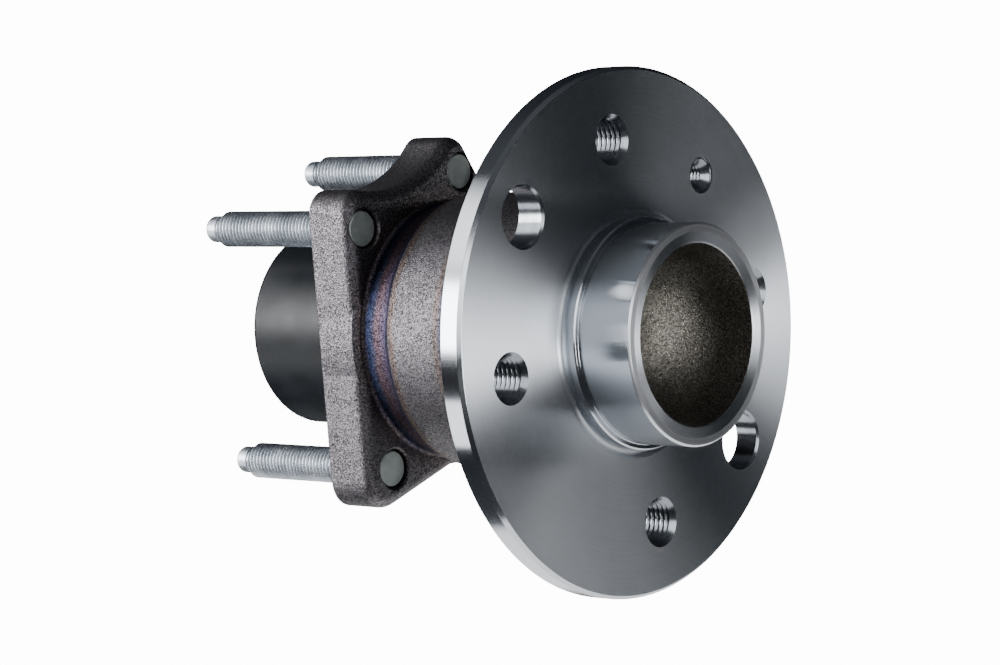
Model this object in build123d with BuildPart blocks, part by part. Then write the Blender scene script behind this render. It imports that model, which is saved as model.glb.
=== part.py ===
from build123d import *

import os
from math import acos, cos, degrees, radians, sin

# A flanged wheel hub unit: a wheel flange with its spindle turns on two rows of balls
# inside a flanged carrier ring, which four press-in studs hold on the axle.
# Frame: the axis of rotation is Y, with the wheel side towards -Y and +Z up. The origin
# lies on the axis in the plane of the wheel's mounting face. All sizes are millimetres.
# Turned profiles are drawn on Plane.XY as (radius, position along Y).

os.makedirs("parts", exist_ok=True)

# ---- Wheel flange and pilot
flange_radius = 68.0
flange_thickness = 7.0
flange_front_chamfer = 0.9
flange_back_chamfer = 1.0
flange_web_radius = 54.0
flange_root_radius = 36.0
flange_root_thickness = 9.2
pilot_radius = 28.25
pilot_length = 20.0
pilot_edge_chamfer = 0.5
disc_land_radius = 29.75
disc_land_length = 4.0
disc_land_chamfer = 0.4
relief_width = 2.4
relief_depth = 0.8
bowl_mouth_radius = 26.0
bowl_land_radius = 23.1
bowl_lip_depth = 0.4
bowl_depth = 23.0
bowl_draft = 10.0
bowl_corner_radius = 17.0

# ---- Holes in the wheel flange
bolt_pcd = 100.0
bolt_count = 4
bolt_angle = -10.7
bolt_thread_radius = 6.0
bolt_hole_chamfer = 0.55
bolt_boss_radius = 10.5
bolt_boss_height = 5.0
bolt_boss_draft = 8.0
access_pcd = 106.6
access_count = 2
access_offset_angle = 135.0
access_radius = 7.5
access_chamfer = 0.55
screw_pcd = 97.4
screw_offset_angle = 45.0
screw_thread_radius = 3.0
screw_recess_radius = 4.8
screw_recess_depth = 0.5
screw_cone_depth = 1.6

# ---- Ball rows (back-to-back angular contact)
ball_diameter = 11.112
ball_count = 12
ball_pitch_radius = 25.0
contact_angle = 40.0
outboard_row_y = 28.0
row_spacing = 22.0
race_gap = 0.06
inner_groove_ratio = 0.52
outer_groove_ratio = 0.53
inner_shoulder_radius = 22.5
outer_shoulder_radius = 27.5

# ---- Cages
cage_side_gap = 0.4
cage_pocket_gap = 0.15
cage_back_wall = 2.3
cage_prong_reach = 2.2

# ---- Spindle, inner ring and nut
seal_land_radius = 24.5
seal_land_end_y = 19.3
seal_land_chamfer = 0.4
seal_land_fillet = 3.0
inner_ring_seat_radius = 15.25
inner_ring_front_y = 38.6
inner_ring_length = 25.2
inner_ring_bore_chamfer = 0.8
spindle_thread_radius = 14.0
spindle_end_gap = 2.6
spindle_end_chamfer = 1.0
centre_hole_radius = 3.0
nut_across_flats = 36.0
nut_height = 14.0
nut_chamfer = 1.6
nut_collar_height = 1.8
nut_collar_wall = 1.4

# ---- Carrier ring and plate
barrel_radius = 36.4
ring_front_y = 14.5
ring_front_chamfer = 1.0
barrel_shoulder_y = 53.3
neck_radius = 33.8
neck_slope_length = 2.6
neck_fillet = 2.2
neck_root_radius = 35.2
plate_front_y = 64.0
plate_thickness = 14.5
plate_front_fillet = 3.4
plate_back_fillet = 0.8
plate_bottom_z = -35.0
plate_top_z = 47.3
plate_dip_z = 42.2
plate_dip_radius = 33.0
plate_dip_blend = 5.0
top_lug_radius = 6.0
top_lug_x = 19.4
bottom_lug_radius = 8.0
bottom_lug_x = 36.3
spigot_radius = 33.75
spigot_length = 2.0
spigot_chamfer = 0.6
cap_seat_extra = 0.5
cap_seat_length = 7.5

# ---- Carrier studs
stud_circle_radius = 42.5
stud_top_angle = 61.2
stud_bottom_angle = -37.04
stud_shank_radius = 5.3
stud_end_radius = 4.3
stud_end_length = 1.8
stud_end_depth = 1.0
stud_end_chamfer = 0.5
stud_thread_radius = 4.85
stud_length_behind = 42.2
stud_neck_length = 2.0
stud_neck_radius = 3.3
stud_dog_radius = 3.6
stud_dog_length = 4.0
stud_dog_fillet = 1.3
stud_hole_chamfer = 0.5

# ---- Outboard seal
seal_core_wall = 0.8
seal_core_start = 0.4
seal_core_length = 4.2
seal_core_inner_radius = 26.5
seal_running_gap = 0.1
lip_thickness = 0.9
lip_flare_radius = 28.8

# ---- Rear cap
cap_radius = 26.9
cap_wall = 1.0
cap_end_y = 112.9
cap_end_fillet = 2.4

# ---- Wheel speed sensor
tooth_count = 29
tone_sleeve_wall = 0.9
tone_tooth_height = 0.9
tone_tooth_width = 2.5
tone_tooth_length = 9.0
tone_overlap = 5.2
pole_air_gap = 0.5
pole_tooth_height = 0.6
sensor_end_gap = 0.5
magnet_length = 3.5
magnet_bore_radius = 20.0
bobbin_length = 9.0
bobbin_bore_radius = 13.0
bobbin_wall = 1.2
bobbin_side_gap = 0.9
winding_depth = 9.3
plug_length = 7.4
o_ring_setback = 3.1
o_ring_section_radius = 0.93
o_ring_groove_depth = 1.9
o_ring_groove_width = 2.4

# ---- Connector on the cap's end
connector_width = 20.0
connector_height = 13.0
connector_corner = 3.0
connector_length = 10.6
connector_wall = 1.7
connector_floor = 1.6
connector_hole_gap = 0.1
latch_width = 6.0
latch_height = 1.4
latch_length = 3.0
terminal_spacing = 6.0
terminal_width = 2.8
terminal_thickness = 0.8
terminal_root = 4.0
terminal_recess = 1.6

# ---- Ball and raceway places that follow from the sizes above
ball_radius = ball_diameter / 2
inboard_row_y = outboard_row_y + row_spacing
inner_groove_radius = inner_groove_ratio * ball_diameter
outer_groove_radius = outer_groove_ratio * ball_diameter
inner_shift = inner_groove_radius - ball_radius - race_gap
outer_shift = outer_groove_radius - ball_radius - race_gap
lean_radial = cos(radians(contact_angle))
lean_axial = sin(radians(contact_angle))
inner_groove_r = ball_pitch_radius + lean_radial * inner_shift
outer_groove_r = ball_pitch_radius - lean_radial * outer_shift
inner_land_radius = inner_groove_r - inner_groove_radius
ring_bore_radius = outer_groove_r + outer_groove_radius
inner_groove_sweep = degrees(acos((inner_groove_r - inner_shoulder_radius) / inner_groove_radius))
outer_groove_sweep = degrees(acos((outer_shoulder_radius - outer_groove_r) / outer_groove_radius))
outboard_inner_centre = (inner_groove_r, outboard_row_y + lean_axial * inner_shift)
outboard_outer_centre = (outer_groove_r, outboard_row_y - lean_axial * outer_shift)
inboard_inner_centre = (inner_groove_r, inboard_row_y - lean_axial * inner_shift)
inboard_outer_centre = (outer_groove_r, inboard_row_y + lean_axial * outer_shift)

# ---- Other places that follow
inner_ring_back_y = inner_ring_front_y + inner_ring_length
nut_back_y = inner_ring_back_y + nut_height
spindle_end_y = nut_back_y + spindle_end_gap
plate_back_y = plate_front_y + plate_thickness
spigot_end_y = plate_back_y + spigot_length
cap_seat_radius = ring_bore_radius + cap_seat_extra
cap_bore_radius = cap_radius - cap_wall
cap_inner_end_y = cap_end_y - cap_wall
housing_front_y = cap_inner_end_y - plug_length
bobbin_front_y = housing_front_y - bobbin_length
magnet_front_y = bobbin_front_y - magnet_length
pole_front_y = magnet_front_y - tone_tooth_length
tone_end_y = magnet_front_y - sensor_end_gap
tone_tip_radius = inner_shoulder_radius + tone_sleeve_wall + tone_tooth_height
pole_tip_radius = tone_tip_radius + pole_air_gap
connector_end_y = cap_end_y + connector_length
stud_angles = [stud_top_angle, 180 - stud_top_angle, 180 - stud_bottom_angle, stud_bottom_angle]


def face_plane(y):
    """A sketch plane across the axis at y, whose own x and y run along X and Z."""
    return Plane.XZ.offset(-y)


def polar_point(radius, angle):
    """The X and Z of a point on a circle about the axis."""
    return (radius * cos(radians(angle)), radius * sin(radians(angle)))


# ---- Wheel flange and spindle, one forging
with BuildPart() as hub_spindle:
    with BuildSketch(Plane.XY):
        with BuildLine():
            bowl_floor_y = bowl_depth - pilot_length
            bowl_land_y = bowl_lip_depth - pilot_length
            bowl_wall = (bowl_floor_y - bowl_land_y) * sin(radians(bowl_draft)) / cos(radians(bowl_draft))
            FilletPolyline(
                (0, bowl_floor_y),
                (bowl_land_radius - bowl_wall, bowl_floor_y),
                (bowl_land_radius, bowl_land_y),
                radius=bowl_corner_radius,
            )
            Polyline(
                (bowl_land_radius, bowl_land_y),
                (bowl_mouth_radius, -pilot_length),
                (pilot_radius - pilot_edge_chamfer, -pilot_length),
                (pilot_radius, pilot_edge_chamfer - pilot_length),
                (pilot_radius, -disc_land_length),
                (disc_land_radius - disc_land_chamfer, -disc_land_length),
                (disc_land_radius, disc_land_chamfer - disc_land_length),
                (disc_land_radius, 0),
            )
            ThreePointArc(
                (disc_land_radius, 0),
                (disc_land_radius + relief_width / 2, relief_depth),
                (disc_land_radius + relief_width, 0),
            )
            Polyline(
                (disc_land_radius + relief_width, 0),
                (flange_radius - flange_front_chamfer, 0),
                (flange_radius, flange_front_chamfer),
                (flange_radius, flange_thickness - flange_back_chamfer),
                (flange_radius - flange_back_chamfer, flange_thickness),
                (flange_web_radius, flange_thickness),
                (flange_root_radius, flange_root_thickness),
                (seal_land_radius + seal_land_fillet, flange_root_thickness),
            )
            RadiusArc(
                (seal_land_radius + seal_land_fillet, flange_root_thickness),
                (seal_land_radius, flange_root_thickness + seal_land_fillet),
                -seal_land_fillet,
            )
            spindle_race = CenterArc(
                outboard_inner_centre, inner_groove_radius, 180 + inner_groove_sweep, -inner_groove_sweep
            )
            Polyline(
                (seal_land_radius, flange_root_thickness + seal_land_fillet),
                (seal_land_radius, seal_land_end_y - seal_land_chamfer),
                (seal_land_radius - seal_land_chamfer, seal_land_end_y),
                (inner_shoulder_radius, seal_land_end_y),
                spindle_race @ 0,
            )
            Polyline(
                spindle_race @ 1,
                (inner_land_radius, inner_ring_front_y),
                (inner_ring_seat_radius, inner_ring_front_y),
                (inner_ring_seat_radius, inner_ring_back_y - spindle_end_chamfer),
                (spindle_thread_radius, inner_ring_back_y - spindle_end_chamfer),
                (spindle_thread_radius, spindle_end_y - spindle_end_chamfer),
                (spindle_thread_radius - spindle_end_chamfer, spindle_end_y),
                (centre_hole_radius, spindle_end_y),
                (0, spindle_end_y - centre_hole_radius),
                (0, bowl_floor_y),
            )
        make_face()
    revolve(axis=Axis.Y)
    with BuildSketch(face_plane(flange_thickness)):
        with PolarLocations(bolt_pcd / 2, bolt_count, start_angle=bolt_angle):
            Circle(bolt_boss_radius)
    extrude(amount=-bolt_boss_height, taper=bolt_boss_draft)
    with Locations(face_plane(0)):
        with PolarLocations(bolt_pcd / 2, bolt_count, start_angle=bolt_angle):
            CounterSinkHole(bolt_thread_radius, bolt_thread_radius + bolt_hole_chamfer, counter_sink_angle=90)
        with PolarLocations(access_pcd / 2, access_count, start_angle=bolt_angle + access_offset_angle):
            CounterSinkHole(access_radius, access_radius + access_chamfer, counter_sink_angle=90)
        with Locations(polar_point(screw_pcd / 2, bolt_angle + screw_offset_angle)):
            Hole(screw_thread_radius)
            CounterBoreHole(screw_thread_radius, screw_recess_radius, screw_recess_depth)
    with Locations(face_plane(screw_recess_depth)):
        with Locations(polar_point(screw_pcd / 2, bolt_angle + screw_offset_angle)):
            CounterSinkHole(screw_thread_radius, screw_thread_radius + screw_cone_depth, counter_sink_angle=90)
hub_spindle.part.label = "hub_spindle"
export_step(hub_spindle.part, "parts/hub_spindle.step")

# ---- Separate inner ring, pressed on the spindle for the inboard row
with BuildPart() as inner_ring:
    with BuildSketch(Plane.XY):
        with BuildLine():
            ring_race = CenterArc(inboard_inner_centre, inner_groove_radius, 180, -inner_groove_sweep)
            Polyline(
                ring_race @ 1,
                (inner_shoulder_radius, inner_ring_back_y),
                (inner_ring_seat_radius, inner_ring_back_y),
                (inner_ring_seat_radius, inner_ring_front_y + inner_ring_bore_chamfer),
                (inner_ring_seat_radius + inner_ring_bore_chamfer, inner_ring_front_y),
                (inner_land_radius, inner_ring_front_y),
                ring_race @ 0,
            )
        make_face()
    revolve(axis=Axis.Y)
inner_ring.part.label = "inner_ring"
export_step(inner_ring.part, "parts/inner_ring.step")

# ---- Collar nut that clamps the inner ring
with BuildPart() as spindle_nut:
    with BuildSketch(face_plane(inner_ring_back_y)):
        RegularPolygon(nut_across_flats / 2, 6, major_radius=False)
    extrude(amount=-nut_height)
    nut_corner_radius = nut_across_flats / 2 / cos(radians(30))
    with BuildSketch(Plane.XY):
        for end_y, inward in ((inner_ring_back_y, 1), (nut_back_y, -1)):
            with BuildLine():
                Polyline(
                    (nut_corner_radius - nut_chamfer, end_y),
                    (nut_corner_radius + nut_chamfer, end_y),
                    (nut_corner_radius + nut_chamfer, end_y + inward * nut_chamfer),
                    (nut_corner_radius - nut_chamfer, end_y),
                )
            make_face()
    revolve(axis=Axis.Y, mode=Mode.SUBTRACT)
    with BuildSketch(face_plane(nut_back_y)):
        Circle(spindle_thread_radius + nut_collar_wall)
    extrude(amount=-nut_collar_height)
    with Locations(face_plane(inner_ring_back_y)):
        Hole(spindle_thread_radius)
spindle_nut.part.label = "spindle_nut"
export_step(spindle_nut.part, "parts/spindle_nut.step")

# ---- Toothed tone ring on the inner ring's shoulder
with BuildPart() as tone_ring:
    with BuildSketch(face_plane(inner_ring_back_y - tone_overlap)):
        Circle(inner_shoulder_radius + tone_sleeve_wall)
        Circle(inner_shoulder_radius, mode=Mode.SUBTRACT)
    extrude(amount=-(tone_end_y - inner_ring_back_y + tone_overlap))
    with BuildSketch(face_plane(pole_front_y)):
        with PolarLocations(tone_tip_radius - tone_tooth_height, tooth_count):
            Rectangle(2 * tone_tooth_height, tone_tooth_width)
    extrude(amount=-(tone_end_y - pole_front_y))
tone_ring.part.label = "tone_ring"
export_step(tone_ring.part, "parts/tone_ring.step")

# ---- Carrier: plate with its four lugs, then the ring forged in one with it
with BuildPart() as carrier_plate:
    with BuildSketch(face_plane(plate_front_y)) as plate_outline:
        with Locations(
            (top_lug_x, plate_top_z - top_lug_radius), (-top_lug_x, plate_top_z - top_lug_radius)
        ):
            Circle(top_lug_radius)
        with Locations(
            (bottom_lug_x, plate_bottom_z + bottom_lug_radius),
            (-bottom_lug_x, plate_bottom_z + bottom_lug_radius),
        ):
            Circle(bottom_lug_radius)
        make_hull()
        with Locations((0, plate_dip_z + plate_dip_radius)):
            Circle(plate_dip_radius, mode=Mode.SUBTRACT)
        fillet(plate_outline.vertices().sort_by(Axis.Y)[-4:].sort_by(Axis.X)[1:3], plate_dip_blend)
    extrude(amount=-plate_thickness)
    fillet(carrier_plate.faces().sort_by(Axis.Y)[0].edges(), plate_front_fillet)
    fillet(carrier_plate.faces().sort_by(Axis.Y)[-1].edges(), plate_back_fillet)
    with Locations(face_plane(plate_front_y)):
        Hole(neck_root_radius)

with BuildPart() as carrier_ring:
    with BuildSketch(Plane.XY):
        with BuildLine():
            outer_race_out = CenterArc(outboard_outer_centre, outer_groove_radius, 0, outer_groove_sweep)
            outer_race_in = CenterArc(
                inboard_outer_centre, outer_groove_radius, -outer_groove_sweep, outer_groove_sweep
            )
            Line(outer_race_out @ 1, outer_race_in @ 0)
            Polyline(
                outer_race_in @ 1,
                (ring_bore_radius, spigot_end_y - cap_seat_length),
                (cap_seat_radius, spigot_end_y - cap_seat_length),
                (cap_seat_radius, spigot_end_y),
                (spigot_radius - spigot_chamfer, spigot_end_y),
                (spigot_radius, spigot_end_y - spigot_chamfer),
                (spigot_radius, plate_back_y),
                (neck_root_radius, plate_back_y),
                (neck_root_radius, plate_front_y),
            )
            FilletPolyline(
                (neck_root_radius, plate_front_y),
                (neck_radius, plate_front_y),
                (neck_radius, barrel_shoulder_y + neck_slope_length),
                (barrel_radius, barrel_shoulder_y),
                (barrel_radius, ring_front_y + ring_front_chamfer),
                radius=[neck_fillet / 2, neck_fillet, neck_fillet / 2],
            )
            Polyline(
                (barrel_radius, ring_front_y + ring_front_chamfer),
                (barrel_radius - ring_front_chamfer, ring_front_y),
                (ring_bore_radius, ring_front_y),
                outer_race_out @ 0,
            )
        make_face()
    revolve(axis=Axis.Y)
    add(carrier_plate.part)
    with Locations(face_plane(plate_front_y)):
        with Locations([polar_point(stud_circle_radius, angle) for angle in stud_angles]):
            CounterSinkHole(
                stud_shank_radius, stud_shank_radius + stud_hole_chamfer, counter_sink_angle=90
            )
carrier_ring.part.label = "carrier_ring"
export_step(carrier_ring.part, "parts/carrier_ring.step")

# ---- Carrier studs: pressed shank, thread, neck and dog point
with BuildPart() as carrier_studs:
    stud_end_y = plate_front_y + stud_end_depth
    thread_end_y = plate_back_y + stud_length_behind - stud_dog_length - stud_neck_length
    dog_start_y = thread_end_y + stud_neck_length
    with BuildSketch(Plane.XY):
        with BuildLine():
            Polyline(
                (0, stud_end_y),
                (stud_end_radius - stud_end_chamfer, stud_end_y),
                (stud_end_radius, stud_end_y + stud_end_chamfer),
                (stud_end_radius, stud_end_y + stud_end_length),
                (stud_shank_radius, stud_end_y + stud_end_length + stud_shank_radius - stud_end_radius),
                (stud_shank_radius, plate_back_y),
                (stud_thread_radius, plate_back_y),
                (stud_thread_radius, thread_end_y),
                (stud_neck_radius, dog_start_y - stud_neck_length / 2),
                (stud_neck_radius, dog_start_y),
                (stud_dog_radius, dog_start_y),
                (stud_dog_radius, dog_start_y + stud_dog_length - stud_dog_fillet),
            )
            RadiusArc(
                (stud_dog_radius, dog_start_y + stud_dog_length - stud_dog_fillet),
                (stud_dog_radius - stud_dog_fillet, dog_start_y + stud_dog_length),
                -stud_dog_fillet,
            )
            Polyline(
                (stud_dog_radius - stud_dog_fillet, dog_start_y + stud_dog_length),
                (0, dog_start_y + stud_dog_length),
                (0, stud_end_y),
            )
        make_face()
    one_stud = revolve(axis=Axis.Y, mode=Mode.PRIVATE)
    for angle in stud_angles:
        stud_x, stud_z = polar_point(stud_circle_radius, angle)
        add(one_stud.moved(Location((stud_x, 0, stud_z))))
carrier_studs.part.label = "carrier_studs"
export_step(carrier_studs.part, "parts/carrier_studs.step")

# ---- Outboard seal: pressed steel core and bonded rubber lips
with BuildPart() as seal_core:
    core_front_y = ring_front_y + seal_core_start
    core_back_y = core_front_y + seal_core_length
    with BuildSketch(Plane.XY):
        with BuildLine():
            Polyline(
                (ring_bore_radius, core_front_y),
                (ring_bore_radius, core_back_y),
                (seal_core_inner_radius, core_back_y),
                (seal_core_inner_radius, core_back_y - seal_core_wall),
                (ring_bore_radius - seal_core_wall, core_back_y - seal_core_wall),
                (ring_bore_radius - seal_core_wall, core_front_y),
                close=True,
            )
        make_face()
    revolve(axis=Axis.Y)
seal_core.part.label = "seal_core"
export_step(seal_core.part, "parts/seal_core.step")

with BuildPart() as seal_lips:
    lip_seat_y = core_back_y - seal_core_wall
    lip_tip_radius = seal_land_radius + seal_running_gap
    face_lip_y = flange_root_thickness + seal_running_gap
    with BuildSketch(Plane.XY):
        with BuildLine():
            Polyline(
                (ring_bore_radius - seal_core_wall, lip_seat_y),
                (ring_bore_radius - seal_core_wall, lip_seat_y - lip_thickness),
                (seal_core_inner_radius + 2 * lip_thickness, lip_seat_y - lip_thickness),
                (lip_flare_radius + lip_thickness, face_lip_y),
                (lip_flare_radius, face_lip_y),
                (seal_core_inner_radius, lip_seat_y - 2 * lip_thickness),
                (lip_tip_radius, lip_seat_y - 4 * lip_thickness),
                (lip_tip_radius, lip_seat_y - 3 * lip_thickness),
                (seal_core_inner_radius - lip_thickness, lip_seat_y - lip_thickness),
                (lip_tip_radius, lip_seat_y),
                (lip_tip_radius, core_back_y),
                (seal_core_inner_radius, core_back_y),
                (seal_core_inner_radius, lip_seat_y),
                close=True,
            )
        make_face()
    revolve(axis=Axis.Y)
seal_lips.part.label = "seal_lips"
export_step(seal_lips.part, "parts/seal_lips.step")

# ---- Rear cap, pressed in the carrier ring's inboard bore
with BuildPart() as rear_cap:
    with BuildSketch(Plane.XY):
        with BuildLine():
            rim_front_y = spigot_end_y - cap_seat_length
            Polyline(
                (cap_seat_radius - cap_wall, rim_front_y),
                (cap_seat_radius, rim_front_y),
                (cap_seat_radius, spigot_end_y),
                (cap_radius, spigot_end_y),
                (cap_radius, cap_end_y - cap_end_fillet),
            )
            RadiusArc(
                (cap_radius, cap_end_y - cap_end_fillet),
                (cap_radius - cap_end_fillet, cap_end_y),
                -cap_end_fillet,
            )
            Polyline(
                (cap_radius - cap_end_fillet, cap_end_y),
                (0, cap_end_y),
                (0, cap_inner_end_y),
                (cap_bore_radius - cap_end_fillet + cap_wall, cap_inner_end_y),
            )
            RadiusArc(
                (cap_bore_radius - cap_end_fillet + cap_wall, cap_inner_end_y),
                (cap_bore_radius, cap_end_y - cap_end_fillet),
                cap_end_fillet - cap_wall,
            )
            Polyline(
                (cap_bore_radius, cap_end_y - cap_end_fillet),
                (cap_bore_radius, spigot_end_y - cap_wall),
                (cap_seat_radius - cap_wall, spigot_end_y - cap_wall),
                (cap_seat_radius - cap_wall, rim_front_y),
            )
        make_face()
    revolve(axis=Axis.Y)
    with BuildSketch(face_plane(cap_inner_end_y)):
        RectangleRounded(
            connector_width + 2 * connector_hole_gap,
            connector_height + 2 * connector_hole_gap,
            connector_corner + connector_hole_gap,
        )
    extrude(amount=-cap_wall, mode=Mode.SUBTRACT)
rear_cap.part.label = "rear_cap"
export_step(rear_cap.part, "parts/rear_cap.step")

# ---- Sensor pole ring around the tone ring
with BuildPart() as sensor_pole_ring:
    with BuildSketch(face_plane(pole_front_y)):
        Circle(cap_bore_radius)
        Circle(pole_tip_radius, mode=Mode.SUBTRACT)
        with PolarLocations(pole_tip_radius, tooth_count):
            Rectangle(2 * pole_tooth_height, tone_tooth_width, mode=Mode.SUBTRACT)
    extrude(amount=-tone_tooth_length)
sensor_pole_ring.part.label = "sensor_pole_ring"
export_step(sensor_pole_ring.part, "parts/sensor_pole_ring.step")

# ---- Ring magnet
with BuildPart() as sensor_magnet:
    with BuildSketch(face_plane(magnet_front_y)):
        Circle(cap_bore_radius)
        Circle(magnet_bore_radius, mode=Mode.SUBTRACT)
    extrude(amount=-magnet_length)
sensor_magnet.part.label = "sensor_magnet"
export_step(sensor_magnet.part, "parts/sensor_magnet.step")

# ---- Coil bobbin and its winding
with BuildPart() as sensor_bobbin:
    with BuildSketch(Plane.XY):
        with BuildLine():
            Polyline(
                (bobbin_bore_radius, bobbin_front_y),
                (cap_bore_radius - bobbin_side_gap, bobbin_front_y),
                (cap_bore_radius - bobbin_side_gap, bobbin_front_y + bobbin_wall),
                (bobbin_bore_radius + bobbin_wall, bobbin_front_y + bobbin_wall),
                (bobbin_bore_radius + bobbin_wall, housing_front_y - bobbin_wall),
                (cap_bore_radius - bobbin_side_gap, housing_front_y - bobbin_wall),
                (cap_bore_radius - bobbin_side_gap, housing_front_y),
                (bobbin_bore_radius, housing_front_y),
                close=True,
            )
        make_face()
    revolve(axis=Axis.Y)
sensor_bobbin.part.label = "sensor_bobbin"
export_step(sensor_bobbin.part, "parts/sensor_bobbin.step")

with BuildPart() as sensor_winding:
    with BuildSketch(face_plane(bobbin_front_y + bobbin_wall)):
        Circle(bobbin_bore_radius + bobbin_wall + winding_depth)
        Circle(bobbin_bore_radius + bobbin_wall, mode=Mode.SUBTRACT)
    extrude(amount=-(bobbin_length - 2 * bobbin_wall))
sensor_winding.part.label = "sensor_winding"
export_step(sensor_winding.part, "parts/sensor_winding.step")

# ---- Sensor housing: sealed plug inside the cap, connector socket outside it
with BuildPart() as sensor_housing:
    o_ring_y = housing_front_y + o_ring_setback
    with BuildSketch(Plane.XY):
        with BuildLine():
            Polyline(
                (0, housing_front_y),
                (cap_bore_radius, housing_front_y),
                (cap_bore_radius, o_ring_y - o_ring_groove_width / 2),
                (cap_bore_radius - o_ring_groove_depth, o_ring_y - o_ring_groove_width / 2),
                (cap_bore_radius - o_ring_groove_depth, o_ring_y + o_ring_groove_width / 2),
                (cap_bore_radius, o_ring_y + o_ring_groove_width / 2),
                (cap_bore_radius, cap_inner_end_y - cap_end_fillet),
                (cap_bore_radius - cap_end_fillet, cap_inner_end_y),
                (0, cap_inner_end_y),
                close=True,
            )
        make_face()
    revolve(axis=Axis.Y)
    with BuildSketch(face_plane(cap_inner_end_y)):
        RectangleRounded(connector_width, connector_height, connector_corner)
    extrude(amount=-(cap_wall + connector_length))
    with BuildSketch(face_plane(connector_end_y)):
        RectangleRounded(
            connector_width - 2 * connector_wall,
            connector_height - 2 * connector_wall,
            connector_corner - connector_wall,
        )
    extrude(amount=connector_length - connector_floor, mode=Mode.SUBTRACT)
    with BuildSketch(Plane.YZ):
        with BuildLine():
            Polyline(
                (connector_end_y - latch_length, connector_height / 2),
                (connector_end_y, connector_height / 2),
                (connector_end_y - latch_length, connector_height / 2 + latch_height),
                close=True,
            )
        make_face()
    extrude(amount=latch_width / 2, both=True)
    with BuildSketch(face_plane(cap_end_y + connector_floor)):
        with GridLocations(terminal_spacing, 0, 2, 1):
            Rectangle(terminal_width, terminal_thickness)
    extrude(amount=connector_floor + terminal_root, mode=Mode.SUBTRACT)
sensor_housing.part.label = "sensor_housing"
export_step(sensor_housing.part, "parts/sensor_housing.step")

# ---- Two blade terminals
with BuildPart() as connector_terminals:
    with BuildSketch(face_plane(cap_end_y - terminal_root)):
        with GridLocations(terminal_spacing, 0, 2, 1):
            Rectangle(terminal_width, terminal_thickness)
    extrude(amount=-(connector_length + terminal_root - terminal_recess))
connector_terminals.part.label = "connector_terminals"
export_step(connector_terminals.part, "parts/connector_terminals.step")

# ---- O-ring in the plug's groove
with BuildPart() as sensor_o_ring:
    with BuildSketch(Plane.XY):
        with Locations((cap_bore_radius - o_ring_groove_depth / 2, o_ring_y)):
            Circle(o_ring_section_radius)
    revolve(axis=Axis.Y)
sensor_o_ring.part.label = "sensor_o_ring"
export_step(sensor_o_ring.part, "parts/sensor_o_ring.step")


def make_cage(row_y, outward):
    """A moulded crown cage whose closed back faces outward (-1 or +1 along Y)."""
    with BuildPart() as cage:
        with BuildSketch(Plane.XY):
            with BuildLine():
                back_y = row_y + outward * (ball_radius + cage_pocket_gap + cage_back_wall)
                front_y = row_y - outward * cage_prong_reach
                inner_r = inner_shoulder_radius + cage_side_gap
                outer_r = outer_shoulder_radius - cage_side_gap
                Polyline(
                    (inner_r, back_y), (outer_r, back_y), (outer_r, front_y), (inner_r, front_y),
                    close=True,
                )
            make_face()
        revolve(axis=Axis.Y)
        with Locations(face_plane(row_y)):
            with PolarLocations(ball_pitch_radius, ball_count):
                Sphere(ball_radius + cage_pocket_gap, mode=Mode.SUBTRACT)
    return cage.part


def make_ball(row_y, index):
    """One ball of a row, at its own place on the pitch circle."""
    with BuildPart() as ball:
        ball_x, ball_z = polar_point(ball_pitch_radius, index * 360 / ball_count)
        with Locations((ball_x, row_y, ball_z)):
            Sphere(ball_radius)
    return ball.part


# ---- The two rows, each a cage with its balls
for row_name, row_y, outward in (("outboard", outboard_row_y, -1), ("inboard", inboard_row_y, 1)):
    cage_part = make_cage(row_y, outward)
    cage_part.label = f"cage_{row_name}"
    export_step(cage_part, f"parts/cage_{row_name}.step")
    for index in range(ball_count):
        ball_part = make_ball(row_y, index)
        ball_part.label = f"ball_{row_name}_{index + 1:02d}"
        export_step(ball_part, f"parts/{ball_part.label}.step")
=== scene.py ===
"""Fine form and finishes of a flanged wheel hub unit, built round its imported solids.

The unit turns about Y. The wheel side is towards -Y, +Z is up, and the origin lies on the axis
in the plane of the wheel's mounting face. Sizes are millimetres until a mesh is finished.
"""

import logging
import math
from collections.abc import Callable, Iterable, Sequence
from dataclasses import dataclass
from enum import Enum
from functools import cached_property
from typing import Any, ClassVar

import bmesh
import bpy
from mathutils import Matrix, Vector


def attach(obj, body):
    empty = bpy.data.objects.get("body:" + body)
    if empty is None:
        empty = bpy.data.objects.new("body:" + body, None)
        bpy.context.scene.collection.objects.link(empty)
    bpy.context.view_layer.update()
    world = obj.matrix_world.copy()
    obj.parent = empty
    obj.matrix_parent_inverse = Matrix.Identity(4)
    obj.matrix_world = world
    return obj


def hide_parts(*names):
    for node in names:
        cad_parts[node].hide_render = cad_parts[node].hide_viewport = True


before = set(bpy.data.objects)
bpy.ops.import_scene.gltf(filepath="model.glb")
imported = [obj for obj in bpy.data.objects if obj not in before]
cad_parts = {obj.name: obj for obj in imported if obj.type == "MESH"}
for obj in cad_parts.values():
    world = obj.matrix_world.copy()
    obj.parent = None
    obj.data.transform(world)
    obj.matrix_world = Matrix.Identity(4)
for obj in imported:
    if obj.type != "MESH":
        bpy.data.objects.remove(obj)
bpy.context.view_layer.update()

LOG = logging.getLogger("hub_unit")
MM = 0.001
MERGE_MM = 0.0005

BREAK_EDGE = 0.12

Point = tuple[float, float]
Corner = tuple[float, float, float]
Solid = bmesh.types.BMesh
Socket = bpy.types.NodeSocket


class Body(Enum):
    """The rigid bodies that pieces ride on."""

    CARRIER = "carrier"
    HUB = "hub"
    OUTBOARD_CAGE = "outboard_cage"
    INBOARD_CAGE = "inboard_cage"


class Join(Enum):
    """How two solids are combined."""

    UNION = "UNION"
    CUT = "DIFFERENCE"
    COMMON = "INTERSECT"


# ---------------------------------------------------------------- mesh tools


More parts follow.
